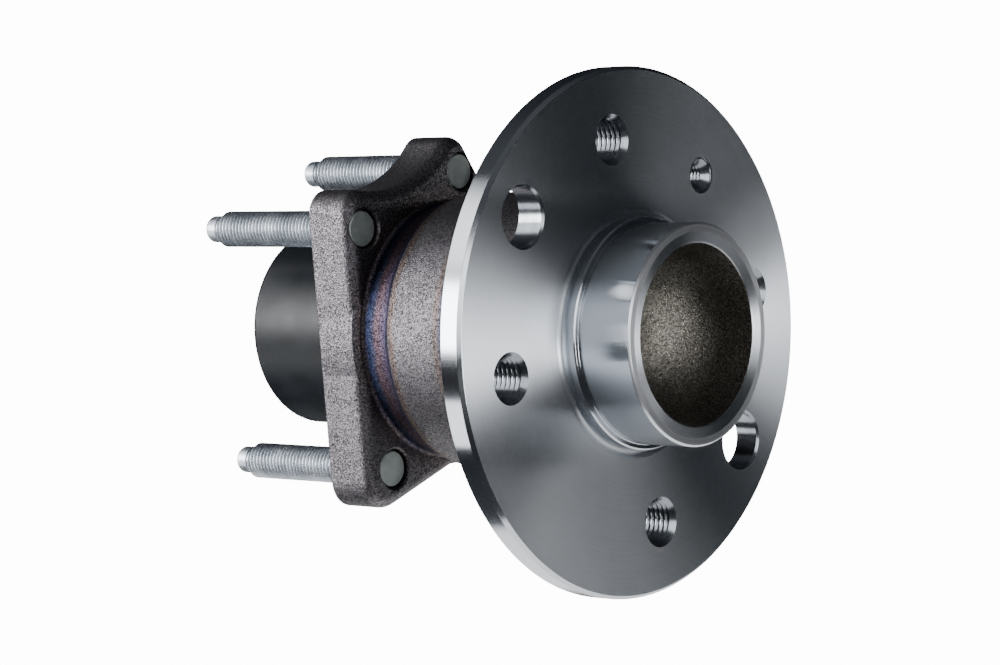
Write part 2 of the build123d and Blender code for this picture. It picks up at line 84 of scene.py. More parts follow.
def arc(centre: Point, radius: float, start: float, end: float, count: int) -> list[Corner]:
    """Points of a circular arc in a profile.

    Args:
        centre: Radius and axial place of the arc's centre.
        radius: Radius of the arc.
        start: First angle in degrees, from the outward radial direction towards +Y.
        end: Last angle in degrees.
        count: How many points, both ends included.

    Returns:
        Profile corners with no rounding of their own.
    """
    points = []
    for index in range(count):
        angle = math.radians(start + (end - start) * index / (count - 1))
        points.append((centre[0] + radius * math.cos(angle), centre[1] + radius * math.sin(angle), 0.0))
    return points


def round_corner(shape: Solid, vertex: bmesh.types.BMVert, radius: float) -> None:
    """Rounds one corner of a wire outline to a true radius.

    Args:
        shape: The mesh that holds the outline.
        vertex: The corner, where exactly two edges meet.
        radius: Radius of the rounding.
    """
    arms = [(edge.other_vert(vertex).co - vertex.co).normalized() for edge in vertex.link_edges]
    turn = math.pi - arms[0].angle(arms[1])
    steps = max(2, math.ceil(math.degrees(turn) / 9))
    bmesh.ops.bevel(
        shape, geom=[vertex], offset=radius * math.tan(turn / 2), offset_type="OFFSET",
        segments=steps, profile=0.5, affect="VERTICES", material=-1,
    )


def outline(shape: Solid, corners: Sequence[Corner], closed: bool, flat: bool) -> None:
    """Draws a wire outline and rounds its corners.

    Args:
        shape: The mesh that takes the outline.
        corners: Two coordinates and a rounding radius for each corner.
        closed: Whether the last corner joins the first.
        flat: True for an outline across the axis (X and Z), False for a profile (radius and Y).
    """
    vertices = [
        shape.verts.new((u, 0.0, v) if flat else (u, v, 0.0)) for u, v, _ in corners
    ]
    pairs = list(zip(vertices, vertices[1:] + vertices[:1]))
    for first, second in pairs if closed else pairs[:-1]:
        shape.edges.new((first, second))
    for vertex, corner in zip(vertices, corners):
        if corner[2] > 0:
            round_corner(shape, vertex, corner[2])


def turned(corners: Sequence[Corner], closed: bool = False, steps: int = 192) -> Solid:
    """Turns a profile about the axis into a closed solid.

    Args:
        corners: Radius, axial place and rounding radius of each corner.
        closed: True for a ring, False for a solid whose profile ends on the axis.
        steps: Number of steps round the axis.

    Returns:
        The solid, with its faces pointing outwards.
    """
    shape = bmesh.new()
    outline(shape, corners, closed, flat=False)
    bmesh.ops.spin(
        shape, geom=shape.verts[:] + shape.edges[:], cent=(0, 0, 0), axis=(0, 1, 0), dvec=(0, 0, 0),
        angle=math.tau, steps=steps, use_merge=True,
    )
    return sealed(shape)


def sealed(shape: Solid) -> Solid:
    """Merges doubled vertices and points the faces outwards.

    Args:
        shape: The mesh to close.

    Returns:
        The same mesh.
    """
    bmesh.ops.remove_doubles(shape, verts=shape.verts[:], dist=MERGE_MM)
    bmesh.ops.dissolve_degenerate(shape, edges=shape.edges[:], dist=MERGE_MM)
    bmesh.ops.recalc_face_normals(shape, faces=shape.faces[:])
    return shape


def plate(corners: Sequence[Corner], near_y: float, far_y: float) -> Solid:
    """A flat plate across the axis.

    Args:
        corners: X, Z and rounding radius of each corner of the outline.
        near_y: Axial place of its first face.
        far_y: Axial place of its other face.

    Returns:
        The plate as a closed solid.
    """
    shape = bmesh.new()
    outline(shape, corners, closed=True, flat=True)
    bmesh.ops.translate(shape, verts=shape.verts[:], vec=(0, near_y, 0))
    face = bmesh.ops.contextual_create(shape, geom=shape.edges[:])["faces"]
    side = bmesh.ops.extrude_face_region(shape, geom=face, use_keep_orig=True)["geom"]
    moved = [item for item in side if isinstance(item, bmesh.types.BMVert)]
    bmesh.ops.translate(shape, verts=moved, vec=(0, far_y - near_y, 0))
    return sealed(shape)


def rod(radius: float, near_y: float, far_y: float, steps: int = 192) -> Solid:
    """A plain round rod about the axis, from one axial place to another."""
    return turned([(0, near_y, 0), (radius, near_y, 0), (radius, far_y, 0), (0, far_y, 0)], steps=steps)


def tube(inner: float, outer: float, near_y: float, far_y: float, rounding: float = 0.1) -> Solid:
    """A plain ring.

    Args:
        inner: Radius of its bore.
        outer: Radius of its outside.
        near_y: Axial place of its front.
        far_y: Axial place of its back.
        rounding: Radius of its edges.

    Returns:
        The ring's solid.
    """
    return turned([
        (inner, near_y, rounding), (outer, near_y, rounding), (outer, far_y, rounding),
        (inner, far_y, rounding),
    ], closed=True)


def block(size: Corner, centre: Corner) -> Solid:
    """A rectangular block.

    Args:
        size: Its full size along X, Y and Z.
        centre: The place of its middle.

    Returns:
        The block's solid.
    """
    shape = bmesh.new()
    bmesh.ops.create_cube(shape, size=1.0)
    bmesh.ops.scale(shape, verts=shape.verts[:], vec=size)
    bmesh.ops.translate(shape, verts=shape.verts[:], vec=centre)
    return shape


def rim(shape: Solid, y: float) -> list[bmesh.types.BMEdge]:
    """The edges of a solid that lie at one axial place."""
    return [edge for edge in shape.edges if all(abs(vertex.co.y - y) < MERGE_MM for vertex in edge.verts)]


def soften(shape: Solid, edges: Sequence[bmesh.types.BMEdge], width: float, segments: int) -> None:
    """Rounds some edges of a solid.

    Args:
        shape: The solid.
        edges: Which of its edges.
        width: How far the rounding reaches from each edge.
        segments: How many facets it has.
    """
    bmesh.ops.bevel(
        shape, geom=list(edges), offset=width, offset_type="OFFSET", segments=segments, profile=0.5,
        affect="EDGES", material=-1,
    )


def rectangle(half_x: float, half_z: float, rounding: float) -> list[Corner]:
    """The corners of a rectangle about the axis, each with the same rounding."""
    return [(x * half_x, z * half_z, rounding) for x, z in ((-1, -1), (1, -1), (1, 1), (-1, 1))]


def thread(major: float, minor: float, pitch: float, near_y: float, far_y: float) -> Solid:
    """A threaded rod with a single-start ridge.

    Args:
        major: Radius over the crests.
        minor: Radius of the roots.
        pitch: Axial distance from crest to crest.
        near_y: Axial place of its first end.
        far_y: Axial place of its other end.

    Returns:
        The rod as a closed solid about the axis.
    """
    steps = 40
    turns = math.ceil((far_y - near_y) / pitch) + 2
    flat_part = pitch / 8
    shape = bmesh.new()
    corners = [
        (minor, 0.0, 0.0), (minor, flat_part, 0.0), (major, pitch / 2 - flat_part / 2, 0.0),
        (major, pitch / 2 + flat_part / 2, 0.0), (minor, pitch, 0.0),
    ]
    outline(shape, corners, closed=False, flat=False)
    bmesh.ops.spin(
        shape, geom=shape.verts[:] + shape.edges[:], cent=(0, 0, 0), axis=(0, 1, 0),
        dvec=(0, pitch / steps, 0), angle=math.tau * turns, steps=steps * turns,
    )
    bmesh.ops.translate(shape, verts=shape.verts[:], vec=(0, near_y - pitch, 0))
    bmesh.ops.remove_doubles(shape, verts=shape.verts[:], dist=MERGE_MM)
    for end_y, outward in ((near_y, -1), (far_y, 1)):
        cut = bmesh.ops.bisect_plane(
            shape, geom=shape.verts[:] + shape.edges[:] + shape.faces[:], dist=MERGE_MM,
            plane_co=(0, end_y, 0), plane_no=(0, outward, 0), clear_outer=True,
        )
        open_edges = [item for item in cut["geom_cut"] if isinstance(item, bmesh.types.BMEdge)]
        bmesh.ops.holes_fill(shape, edges=open_edges, sides=0)
    return sealed(shape)


def placed(shape: Solid, x: float, z: float) -> Solid:
    """Moves a solid across the axis and returns it."""
    bmesh.ops.translate(shape, verts=shape.verts[:], vec=(x, 0, z))
    return shape


def polar(radius: float, angle: float) -> Point:
    """X and Z of a point at an angle in degrees about the axis."""
    return (radius * math.cos(math.radians(angle)), radius * math.sin(math.radians(angle)))


def merged(shapes: Iterable[Solid]) -> Solid:
    """Gathers separate solids in one mesh and frees the originals.

    Args:
        shapes: The solids, which are freed.

    Returns:
        One mesh that holds them all.
    """
    whole = bmesh.new()
    for shape in shapes:
        holder = bpy.data.meshes.new("holder")
        shape.to_mesh(holder)
        shape.free()
        whole.from_mesh(holder)
        bpy.data.meshes.remove(holder)
    return whole


def combine(base: Solid, tool: Solid, join: Join) -> Solid:
    """Unites, cuts or intersects two solids.

    Args:
        base: The first solid, which is freed.
        tool: The second solid, which is freed.
        join: What is done with them.

    Returns:
        The resulting solid.
    """
    objects = []
    for name, shape in (("base", base), ("tool", tool)):
        mesh = bpy.data.meshes.new(name)
        shape.to_mesh(mesh)
        shape.free()
        item = bpy.data.objects.new(name, mesh)
        bpy.context.scene.collection.objects.link(item)
        objects.append(item)
    modifier = objects[0].modifiers.new("join", "BOOLEAN")
    modifier.operation = join.value
    modifier.solver = "EXACT"
    modifier.object = objects[1]
    evaluated = objects[0].evaluated_get(bpy.context.evaluated_depsgraph_get())
    result = bmesh.new()
    result.from_mesh(evaluated.to_mesh())
    evaluated.to_mesh_clear()
    for item in objects:
        mesh = item.data
        bpy.data.objects.remove(item)
        bpy.data.meshes.remove(mesh)
    bmesh.ops.remove_doubles(result, verts=result.verts[:], dist=MERGE_MM)
    return result


def piece(
    name: str, shape: Solid, body: Body, finish: "Finish", nodes: Sequence[str],
    sharp_angle: float = 32.0,
    zones: Sequence[tuple["Finish", Callable[[Vector], bool]]] = (),
) -> bpy.types.Object:
    """Turns a finished solid into a piece of the unit.

    Args:
        name: The piece's name.
        shape: Its solid in millimetres, which is freed.
        body: The rigid body it rides on.
        finish: Its surface finish.
        nodes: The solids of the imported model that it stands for.
        sharp_angle: Edges that turn by more than this many degrees stay crisp.
        zones: Other finishes, each with a test of where on the surface it lies.

    Returns:
        The piece's object.
    """
    for face in shape.faces:
        face.smooth = True
        place = face.calc_center_median()
        for index, (_, inside) in enumerate(zones, start=1):
            if inside(place):
                face.material_index = index
    bmesh.ops.scale(shape, verts=shape.verts[:], vec=(MM, MM, MM))
    mesh = bpy.data.meshes.new(name)
    shape.to_mesh(mesh)
    shape.free()
    mesh.set_sharp_from_angle(angle=math.radians(sharp_angle))
    item = bpy.data.objects.new(name, mesh)
    bpy.context.scene.collection.objects.link(item)
    weigh_normals(item)
    for used in (finish, *(zone[0] for zone in zones)):
        item.data.materials.append(used.material())
    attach(item, body.value)
    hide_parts(*nodes)
    LOG.info("%s: %d faces", name, len(item.data.polygons))
    return item


def weigh_normals(item: bpy.types.Object) -> None:
    """Lets large faces set the shading normals, so that flats stay flat beside their roundings.

    Args:
        item: The piece's object, whose mesh is replaced.
    """
    modifier = item.modifiers.new("weigh", "WEIGHTED_NORMAL")
    modifier.keep_sharp = True
    modifier.weight = 50
    evaluated = item.evaluated_get(bpy.context.evaluated_depsgraph_get())
    weighted = bpy.data.meshes.new_from_object(evaluated)
    item.modifiers.clear()
    old = item.data
    item.data = weighted
    weighted.name = item.name
    bpy.data.meshes.remove(old)


# ---------------------------------------------------------------- material tools


def linear(colour: str) -> tuple[float, float, float, float]:
    """Turns an sRGB hex colour such as "7f8890" into linear red, green, blue and alpha.

    Args:
        colour: The colour as six hex digits.

    Returns:
        The four linear values.
    """
    parts = [int(colour[index:index + 2], 16) / 255 for index in (0, 2, 4)]
    curve = [part / 12.92 if part <= 0.04045 else ((part + 0.055) / 1.055) ** 2.4 for part in parts]
    return (curve[0], curve[1], curve[2], 1.0)


def add_node(tree: bpy.types.NodeTree, kind: str, inputs: dict[Any, Any] | None = None,
             **settings: Any) -> bpy.types.Node:
    """Adds a shader node with its settings, values and links.

    Args:
        tree: The node tree that takes it.
        kind: Blender's name for the node.
        inputs: A value, or another node's output to link, for each input's name or number.
        **settings: Properties of the node itself.

    Returns:
        The new node.
    """
    node = tree.nodes.new(kind)
    for name, value in settings.items():
        setattr(node, name, value)
    for key, value in (inputs or {}).items():
        if isinstance(value, Socket):
            tree.links.new(value, node.inputs[key])
        else:
            node.inputs[key].default_value = value
    return node


def set_ramp(node: bpy.types.Node, stops: Sequence[tuple[float, str]]) -> None:
    """Sets a colour ramp's stops, each a place from 0 to 1 and an sRGB hex colour.

    Args:
        node: The colour ramp's node.
        stops: Its stops in order.
    """
    elements = node.color_ramp.elements
    while len(elements) > len(stops):
        elements.remove(elements[-1])
    while len(elements) < len(stops):
        elements.new(1.0)
    for element, (place, colour) in zip(elements, stops):
        element.position = place
        element.color = linear(colour)


@dataclass(frozen=True)
class Surface:
    """A finish in the making: its material and shader, and its coordinates in millimetres."""

    material: bpy.types.Material
    tree: bpy.types.NodeTree
    shader: bpy.types.Node
    place: Socket
    radius: Socket
    axial: Socket

    def coat(
        self, colour: Socket, pattern: Socket, roughness: tuple[float, float], height: Socket, depth_mm: float
    ) -> bpy.types.Material:
        """Gives the shader its colour, its roughness and its relief.

        Args:
            colour: The colour.
            pattern: The pattern that the roughness follows.
            roughness: Roughness where the pattern is low, and where it is high.
            height: The pattern that the relief follows.
            depth_mm: Depth of the relief.

        Returns:
            The finished material.
        """
        rough = add_node(
            self.tree, "ShaderNodeMapRange", {0: pattern, 1: 0.3, 2: 0.7, 3: roughness[0], 4: roughness[1]}
        )
        relief = add_node(
            self.tree, "ShaderNodeBump", {"Height": height, "Distance": depth_mm * MM, "Strength": 1.0}
        )
        self.tree.links.new(colour, self.shader.inputs["Base Color"])
        self.tree.links.new(rough.outputs[0], self.shader.inputs["Roughness"])
        self.tree.links.new(relief.outputs[0], self.shader.inputs["Normal"])
        return self.material


def new_surface(name: str, **constants: Any) -> Surface:
    """Starts a material.

    Args:
        name: The material's name.
        **constants: Values of the shader's own sockets, with spaces written as underscores.

    Returns:
        The material with its shader and coordinates.
    """
    material = bpy.data.materials.new(name)
    material.use_nodes = True
    tree = material.node_tree
    shader = tree.nodes["Principled BSDF"]
    for key, value in constants.items():
        shader.inputs[key.replace("_", " ")].default_value = value
    coordinates = add_node(tree, "ShaderNodeTexCoord")
    place = add_node(
        tree, "ShaderNodeVectorMath", {0: coordinates.outputs["Object"], "Scale": 1 / MM}, operation="SCALE"
    )
    across = add_node(
        tree, "ShaderNodeVectorMath", {0: place.outputs[0], 1: (1, 0, 1)}, operation="MULTIPLY"
    )
    radius = add_node(tree, "ShaderNodeVectorMath", {0: across.outputs[0]}, operation="LENGTH")
    parts = add_node(tree, "ShaderNodeSeparateXYZ", {0: place.outputs[0]})
    return Surface(
        material, tree, shader, place.outputs[0], radius.outputs["Value"], parts.outputs["Y"]
    )


class Finish:
    """A surface finish whose material is made once and then shared."""

    made: ClassVar[dict["Finish", bpy.types.Material]] = {}

    def material(self) -> bpy.types.Material:
        """The finish's material, made at its first use.

        Returns:
            The material, the same one at each call.
        """
        if self not in Finish.made:
            Finish.made[self] = self.build()
        return Finish.made[self]

    def build(self) -> bpy.types.Material:
        """Makes the material; each finish has its own way."""
        raise NotImplementedError


@dataclass(frozen=True)
class TurnedSteel(Finish):
    """Medium-carbon steel, finish-turned: fine rings that stretch each highlight across them.

    Each ring stands for one turn's feed, assumed to be 0.1 to 0.2 mm. The rings are drawn coarser, so
    that they show.
    """

    name: str
    colour: str = "b4b8be"
    dark: str = "a9aeb4"
    roughness: float = 0.37
    ring_mm: float = 0.3
    ring_depth_mm: float = 0.0002
    stretch: float = 0.97
    stain_mm: float = 25.0

    def build(self) -> bpy.types.Material:
        """Rings follow the radius on a face and the axis on a shaft.

        Returns:
            The finished material.
        """
        surface = new_surface(self.name, Metallic=1.0, Anisotropic=self.stretch)
        tree = surface.tree
        along = add_node(
            tree, "ShaderNodeMath", {0: surface.radius, 1: surface.axial}, operation="ADD"
        ).outputs[0]
        rings = add_node(
            tree, "ShaderNodeTexNoise", {"W": along, "Scale": 1 / self.ring_mm, "Detail": 2.0},
            noise_dimensions="1D",
        )
        clouds = add_node(
            tree, "ShaderNodeTexNoise", {"Vector": surface.place, "Scale": 1 / self.stain_mm, "Detail": 4.0}
        )
        mixed = add_node(
            tree, "ShaderNodeMix", {0: 0.5, 2: rings.outputs[0], 3: clouds.outputs[0]}, data_type="FLOAT"
        )
        tone = add_node(tree, "ShaderNodeValToRGB", {0: mixed.outputs[0]})
        set_ramp(tone, [(0.38, self.dark), (0.6, self.colour)])
        tree.links.new(self.lay(surface), surface.shader.inputs["Tangent"])
        return surface.coat(
            tone.outputs[0], rings.outputs[0], (self.roughness * 0.95, self.roughness * 1.06),
            rings.outputs[0], self.ring_depth_mm,
        )

    def lay(self, surface: Surface) -> Socket:
        """The direction across the turning rings, in world space.

        Args:
            surface: The surface that takes it.

        Returns:
            The output to link to the shader's tangent.
        """
        tree = surface.tree
        ring = add_node(
            tree, "ShaderNodeVectorMath", {0: (0, 1, 0), 1: surface.place}, operation="CROSS_PRODUCT"
        )
        world = add_node(
            tree, "ShaderNodeVectorTransform", {0: ring.outputs[0]},
            vector_type="VECTOR", convert_from="OBJECT", convert_to="WORLD",
        )
        normal = add_node(tree, "ShaderNodeNewGeometry").outputs["Normal"]
        across = add_node(
            tree, "ShaderNodeVectorMath", {0: normal, 1: world.outputs[0]}, operation="CROSS_PRODUCT"
        )
        return add_node(
            tree, "ShaderNodeVectorMath", {0: across.outputs[0]}, operation="NORMALIZE"
        ).outputs[0]


@dataclass(frozen=True)
class ForgedSteel(Finish):
    """Hot-forged steel, shot-blasted: matt grey, with dents that glint or shade one by one.

    grain_mm is the width of one dent. It is an assumed size.
    """

    name: str
    light: str = "757276"
    dark: str = "1c1a1d"
    grain_mm: float = 0.34
    grain_depth_mm: float = 0.08
    roughness: float = 0.46
    stain_mm: float = 11.11
    oxide_and_painted_shade: bool = False
    # Span, radial fade and ripple of the oxide tint and of the painted shade in the neck.
    oxide_and_shade_span: tuple[float, float] = (34.0, 68.0)
    oxide_and_shade_fade: tuple[float, float] = (35.0, 41.0)
    oxide_and_shade_ripple_mm: float = 8.333

    def build(self) -> bpy.types.Material:
        """Blast dents of a shade each, slow stains, and, if asked, the hardening's oxide colours with painted
        shade in the neck.

        Returns:
            The finished material.
        """
        surface = new_surface(self.name, Metallic=1.0)
        tree = surface.tree
        pits_per_dent = 0.7
        grain = add_node(tree, "ShaderNodeTexNoise", {
            "Vector": surface.place, "Scale": pits_per_dent / self.grain_mm, "Detail": 4.0, "Roughness": 0.75,
        })
        dents = add_node(
            tree, "ShaderNodeTexVoronoi",
            {"Vector": surface.place, "Scale": 1 / self.grain_mm, "Randomness": 1.0},
        )
        dent_shade = add_node(tree, "ShaderNodeSeparateColor", {0: dents.outputs["Color"]})
        clouds = add_node(
            tree, "ShaderNodeTexNoise", {"Vector": surface.place, "Scale": 1 / self.stain_mm, "Detail": 4.0}
        )
        speckle = add_node(
            tree, "ShaderNodeMix", {0: 0.4, 2: grain.outputs[0], 3: dent_shade.outputs[0]}, data_type="FLOAT"
        )
        shade = add_node(
            tree, "ShaderNodeMix", {0: 0.2, 2: speckle.outputs[0], 3: clouds.outputs[0]}, data_type="FLOAT"
        )
        tone = add_node(tree, "ShaderNodeValToRGB", {0: shade.outputs[0]})
        set_ramp(tone, [(0.28, self.dark), (0.72, self.light)])
        colour = tone.outputs[0]
        if self.oxide_and_painted_shade:
            colour = self.oxide_colours_and_painted_shade(surface, colour)
        height = add_node(
            tree, "ShaderNodeMath", {0: grain.outputs[0], 1: dents.outputs["Distance"]}, operation="ADD"
        )
        return surface.coat(
            colour, speckle.outputs[0], (self.roughness * 1.25, self.roughness * 0.7),
            height.outputs[0], self.grain_depth_mm,
        )

    def oxide_colours_and_painted_shade(self, surface: Surface, colour: Socket) -> Socket:
        """Oxide colours of induction hardening, laid in bands along the axis, with painted shade: the blue
        bands darken the neck, most at its crease with the plate.

        Args:
            surface: The surface that takes them.
            colour: Its plain colour.

        Returns:
            The tinted colour.
        """
        tree = surface.tree
        ripple = add_node(
            tree, "ShaderNodeTexNoise",
            {"Vector": surface.place, "Scale": 1 / self.oxide_and_shade_ripple_mm, "Detail": 2.0},
        )
        ripple_mm = 2.0
        shift = add_node(
            tree, "ShaderNodeMath", {0: ripple.outputs[0], 1: ripple_mm, 2: surface.axial},
            operation="MULTIPLY_ADD",
        )
        start_y, end_y = self.oxide_and_shade_span
        span = add_node(
            tree, "ShaderNodeMapRange", {0: shift.outputs[0], 1: start_y, 2: end_y, 3: 0.0, 4: 1.0}
        )
        # Oxide tint with painted shade: the blue bands darken the neck, most at its crease with the plate.
        oxide_and_shade_stripes = add_node(tree, "ShaderNodeValToRGB", {0: span.outputs[0]})
        set_ramp(oxide_and_shade_stripes, [
            (0.0, "ffffff"), (0.03, "e6e9f2"), (0.06, "a9b6d4"), (0.10, "ead0b6"), (0.15, "ffffff"),
            (0.515, "ffffff"), (0.565, "ecc9a8"), (0.606, "7f93c4"), (0.653, "8d9ccb"), (0.706, "b9a9c9"),
            (0.779, "d9b9c0"), (0.832, "8fa0cc"), (0.871, "6f82b8"), (0.912, "d8c9c2"), (0.956, "ffffff"),
        ])
        # The tint and painted shade are full inside radius 35 and fade out by radius 41, across the plate's
        # face.
        near_radius, far_radius = self.oxide_and_shade_fade
        near = add_node(
            tree, "ShaderNodeMapRange", {0: surface.radius, 1: near_radius, 2: far_radius, 3: 1.0, 4: 0.0}
        )
        return add_node(
            tree, "ShaderNodeMix", {0: near.outputs[0], 6: colour, 7: oxide_and_shade_stripes.outputs[0]},
            data_type="RGBA", blend_type="MULTIPLY",
        ).outputs[2]


@dataclass(frozen=True)
class PlainMetal(Finish):
    """A metal with no lay of its own: plated, ground, sintered or pressed.

    The crystals of plating and the pores of a pressing are far smaller than grain_mm. They are drawn
    as coarse as they need to be to show.
    """

    name: str
    light: str
    dark: str
    roughness: float = 0.3
    grain_mm: float = 0.6
    grain_depth_mm: float = 0.004
    stain_mm: float = 6.667

    def build(self) -> bpy.types.Material:
        """A fine even grain with a slow change of tone.

        Returns:
            The finished material.
        """
        surface = new_surface(self.name, Metallic=1.0)
        tree = surface.tree
        grain = add_node(
            tree, "ShaderNodeTexNoise",
            {"Vector": surface.place, "Scale": 1 / self.grain_mm, "Detail": 3.0},
        )
        clouds = add_node(
            tree, "ShaderNodeTexNoise", {"Vector": surface.place, "Scale": 1 / self.stain_mm, "Detail": 3.0}
        )
        shade = add_node(
            tree, "ShaderNodeMix", {0: 0.6, 2: grain.outputs[0], 3: clouds.outputs[0]}, data_type="FLOAT"
        )
        tone = add_node(tree, "ShaderNodeValToRGB", {0: shade.outputs[0]})
        set_ramp(tone, [(0.35, self.dark), (0.65, self.light)])
        return surface.coat(
            tone.outputs[0], grain.outputs[0], (self.roughness * 0.8, self.roughness * 1.25),
            grain.outputs[0], self.grain_depth_mm,
        )


@dataclass(frozen=True)
class Polymer(Finish):
    """A coating, rubber or moulded plastic: a dielectric with a fine texture.

    grain_mm is the spacing of that texture and speck_mm that of the dust specks. Both are assumed.
    """

    name: str
    light: str
    dark: str
    roughness: float = 0.4
    ior: float = 1.5
    grain_mm: float = 0.5
    grain_depth_mm: float = 0.006
    stain_mm: float = 10.0
    dust: float = 0.0
    dust_colour: str = "b9b6ae"
    speck_mm: float = 2.857

    def build(self) -> bpy.types.Material:
        """A fine orange-peel texture, with a few pale dust specks if asked.

        Returns:
            The finished material.
        """
        surface = new_surface(self.name, IOR=self.ior)
        tree = surface.tree
        grain = add_node(
            tree, "ShaderNodeTexNoise",
            {"Vector": surface.place, "Scale": 1 / self.grain_mm, "Detail": 2.0},
        )
        clouds = add_node(
            tree, "ShaderNodeTexNoise", {"Vector": surface.place, "Scale": 1 / self.stain_mm, "Detail": 4.0}
        )
        tone = add_node(tree, "ShaderNodeValToRGB", {0: clouds.outputs[0]})
        set_ramp(tone, [(0.35, self.dark), (0.65, self.light)])
        colour = tone.outputs[0]
        if self.dust > 0:
            specks = add_node(
                tree, "ShaderNodeTexVoronoi",
                {"Vector": surface.place, "Scale": 1 / self.speck_mm, "Randomness": 1.0},
            )
            speck = add_node(
                tree, "ShaderNodeMapRange",
                {0: specks.outputs["Distance"], 1: 0.03, 2: 0.06, 3: self.dust, 4: 0.0},
            )
            colour = add_node(
                tree, "ShaderNodeMix",
                {0: speck.outputs[0], 6: colour, 7: linear(self.dust_colour)}, data_type="RGBA",
            ).outputs[2]
        return surface.coat(
            colour, clouds.outputs[0], (self.roughness * 0.85, self.roughness * 1.2),
            grain.outputs[0], self.grain_depth_mm,
        )


# ---------------------------------------------------------------- sub-assemblies


@dataclass(frozen=True)
class BallRows:
    """The two angular-contact ball rows, from which the raceways and bores follow."""

    ball_radius: float = 5.556
    ball_count: int = 12
    pitch_radius: float = 25.0
    contact_angle: float = 40.0
    outboard_y: float = 28.0
    spacing: float = 22.0
    race_gap: float = 0.06
    inner_groove_radius: float = 0.52 * 11.112
    outer_groove_radius: float = 0.53 * 11.112
    inner_shoulder_radius: float = 22.5
    outer_shoulder_radius: float = 27.5
    groove_points: int = 14

    @property
    def bore_radius(self) -> float:
        """Radius of the carrier ring's bore, level with the bottom of its grooves."""
        return self.groove_centre(outward=True, inboard=False)[0] + self.outer_groove_radius

    @property
    def land_radius(self) -> float:
        """Radius of the spindle's land between the rows."""
        return self.groove_centre(outward=False, inboard=False)[0] - self.inner_groove_radius

    def groove_centre(self, outward: bool, inboard: bool) -> Point:
        """Centre of a raceway's arc.

        Args:
            outward: True for the carrier ring's raceway, False for the spindle's.
            inboard: True for the row away from the wheel.

        Returns:
            Its radius and axial place.
        """
        groove = self.outer_groove_radius if outward else self.inner_groove_radius
        shift = groove - self.ball_radius - self.race_gap
        lean = math.radians(self.contact_angle)
        radial = -shift * math.cos(lean) if outward else shift * math.cos(lean)
        axial = shift * math.sin(lean) * (-1 if outward == (not inboard) else 1)
        row_y = self.outboard_y + (self.spacing if inboard else 0.0)
        return (self.pitch_radius + radial, row_y + axial)

    def groove(self, outward: bool, inboard: bool) -> list[Corner]:
        """Profile points of a raceway, from its lower to its higher axial place.

        Args:
            outward: True for the carrier ring's raceway, False for the spindle's.
            inboard: True for the row away from the wheel.

        Returns:
            The raceway's corners, with no rounding.
        """
        centre = self.groove_centre(outward, inboard)
        if outward:
            rise = self.outer_shoulder_radius - centre[0]
            sweep = math.degrees(math.acos(rise / self.outer_groove_radius))
            start, end = (-sweep, 0.0) if inboard else (0.0, sweep)
            return arc(centre, self.outer_groove_radius, start, end, self.groove_points)
        rise = centre[0] - self.inner_shoulder_radius
        sweep = math.degrees(math.acos(rise / self.inner_groove_radius))
        start, end = (180.0, 180.0 - sweep) if inboard else (180.0 + sweep, 180.0)
        return arc(centre, self.inner_groove_radius, start, end, self.groove_points)


@dataclass(frozen=True)
class Hole:
    """A round hole across the axis, plain or threaded."""

    place: Point
    radius: float
    chamfer: float
    depth: float
    front_y: float = 0.0
    pitch: float = 0.0
    thread_depth: float = 0.0
    recess: tuple[float, float] | None = None
    ledge: float = 0.5
    recess_rounding: float = 0.15
    plain_margin: float = 1.0
    threaded_margin: float = 0.2
    steps: int = 64

    @property
    def minor_radius(self) -> float:
        """Radius over the thread's crests, or of a plain hole."""
        return self.radius - self.thread_depth

    @property
    def mouth_radius(self) -> float:
        """Radius where the hole opens in its face."""
        return self.recess[0] if self.recess else self.radius + self.chamfer

    @property
    def lined_depth(self) -> float:
        """Depth to which the hole has a finish of its own, darker as painted shade, clear of the sloping web
        behind it.
        """
        return self.depth - (self.threaded_margin if self.pitch > 0 else self.plain_margin)

    def across(self, place: Vector) -> float:
        """Distance of a place from the hole's own axis."""
        return math.hypot(place.x - self.place[0], place.z - self.place[1])

    def holds(self, place: Vector) -> bool:
        """Whether a place is on this hole's wall, thread or mouth.

        Args:
            place: The place on the surface.

        Returns:
            True where the hole's own finish lies, coloured darker as painted shade.
        """
        margin = 0.02
        along = place.y - self.front_y
        return self.across(place) < self.mouth_radius + margin and margin < along < self.lined_depth

    def cutter(self) -> Solid:
        """The solid that cuts this hole, at the hole's place.

        Returns:
            The bore or thread, united with its mouth and, behind a thread, with a rear chamfer.
        """
        reach = 2.0
        minor, near_y = self.minor_radius, self.front_y - reach
        back_y = self.front_y + self.depth
        far_y = back_y + reach
        if self.pitch > 0:
            bore = thread(self.radius, minor, self.pitch, near_y, far_y)
        else:
            bore = rod(self.radius, near_y, far_y, self.steps)
        wide, floor_y = self.mouth_radius, self.front_y
        if self.recess:
            floor_y += self.recess[1]
            edge = [
                (wide, near_y, 0), (wide, floor_y, self.recess_rounding), (wide - self.ledge, floor_y, 0)
            ]
            cone = wide - self.ledge - minor
        else:
            edge = [(wide + reach, near_y, 0), (wide, floor_y, 0)]
            cone = wide - minor
        funnel = turned(
            [(0, near_y, 0), *edge, (minor, floor_y + cone, 0), (0, floor_y + cone, 0)], steps=self.steps
        )
        bore = combine(bore, funnel, Join.UNION)
        if self.pitch > 0:
            cone_y = back_y - self.thread_depth - self.chamfer
            rear = turned(
                [(0, far_y, 0), (self.radius + self.chamfer + reach, far_y, 0), (minor, cone_y, 0),
                 (0, cone_y, 0)], steps=self.steps,
            )
            bore = combine(bore, rear, Join.UNION)
        return placed(bore, *self.place)


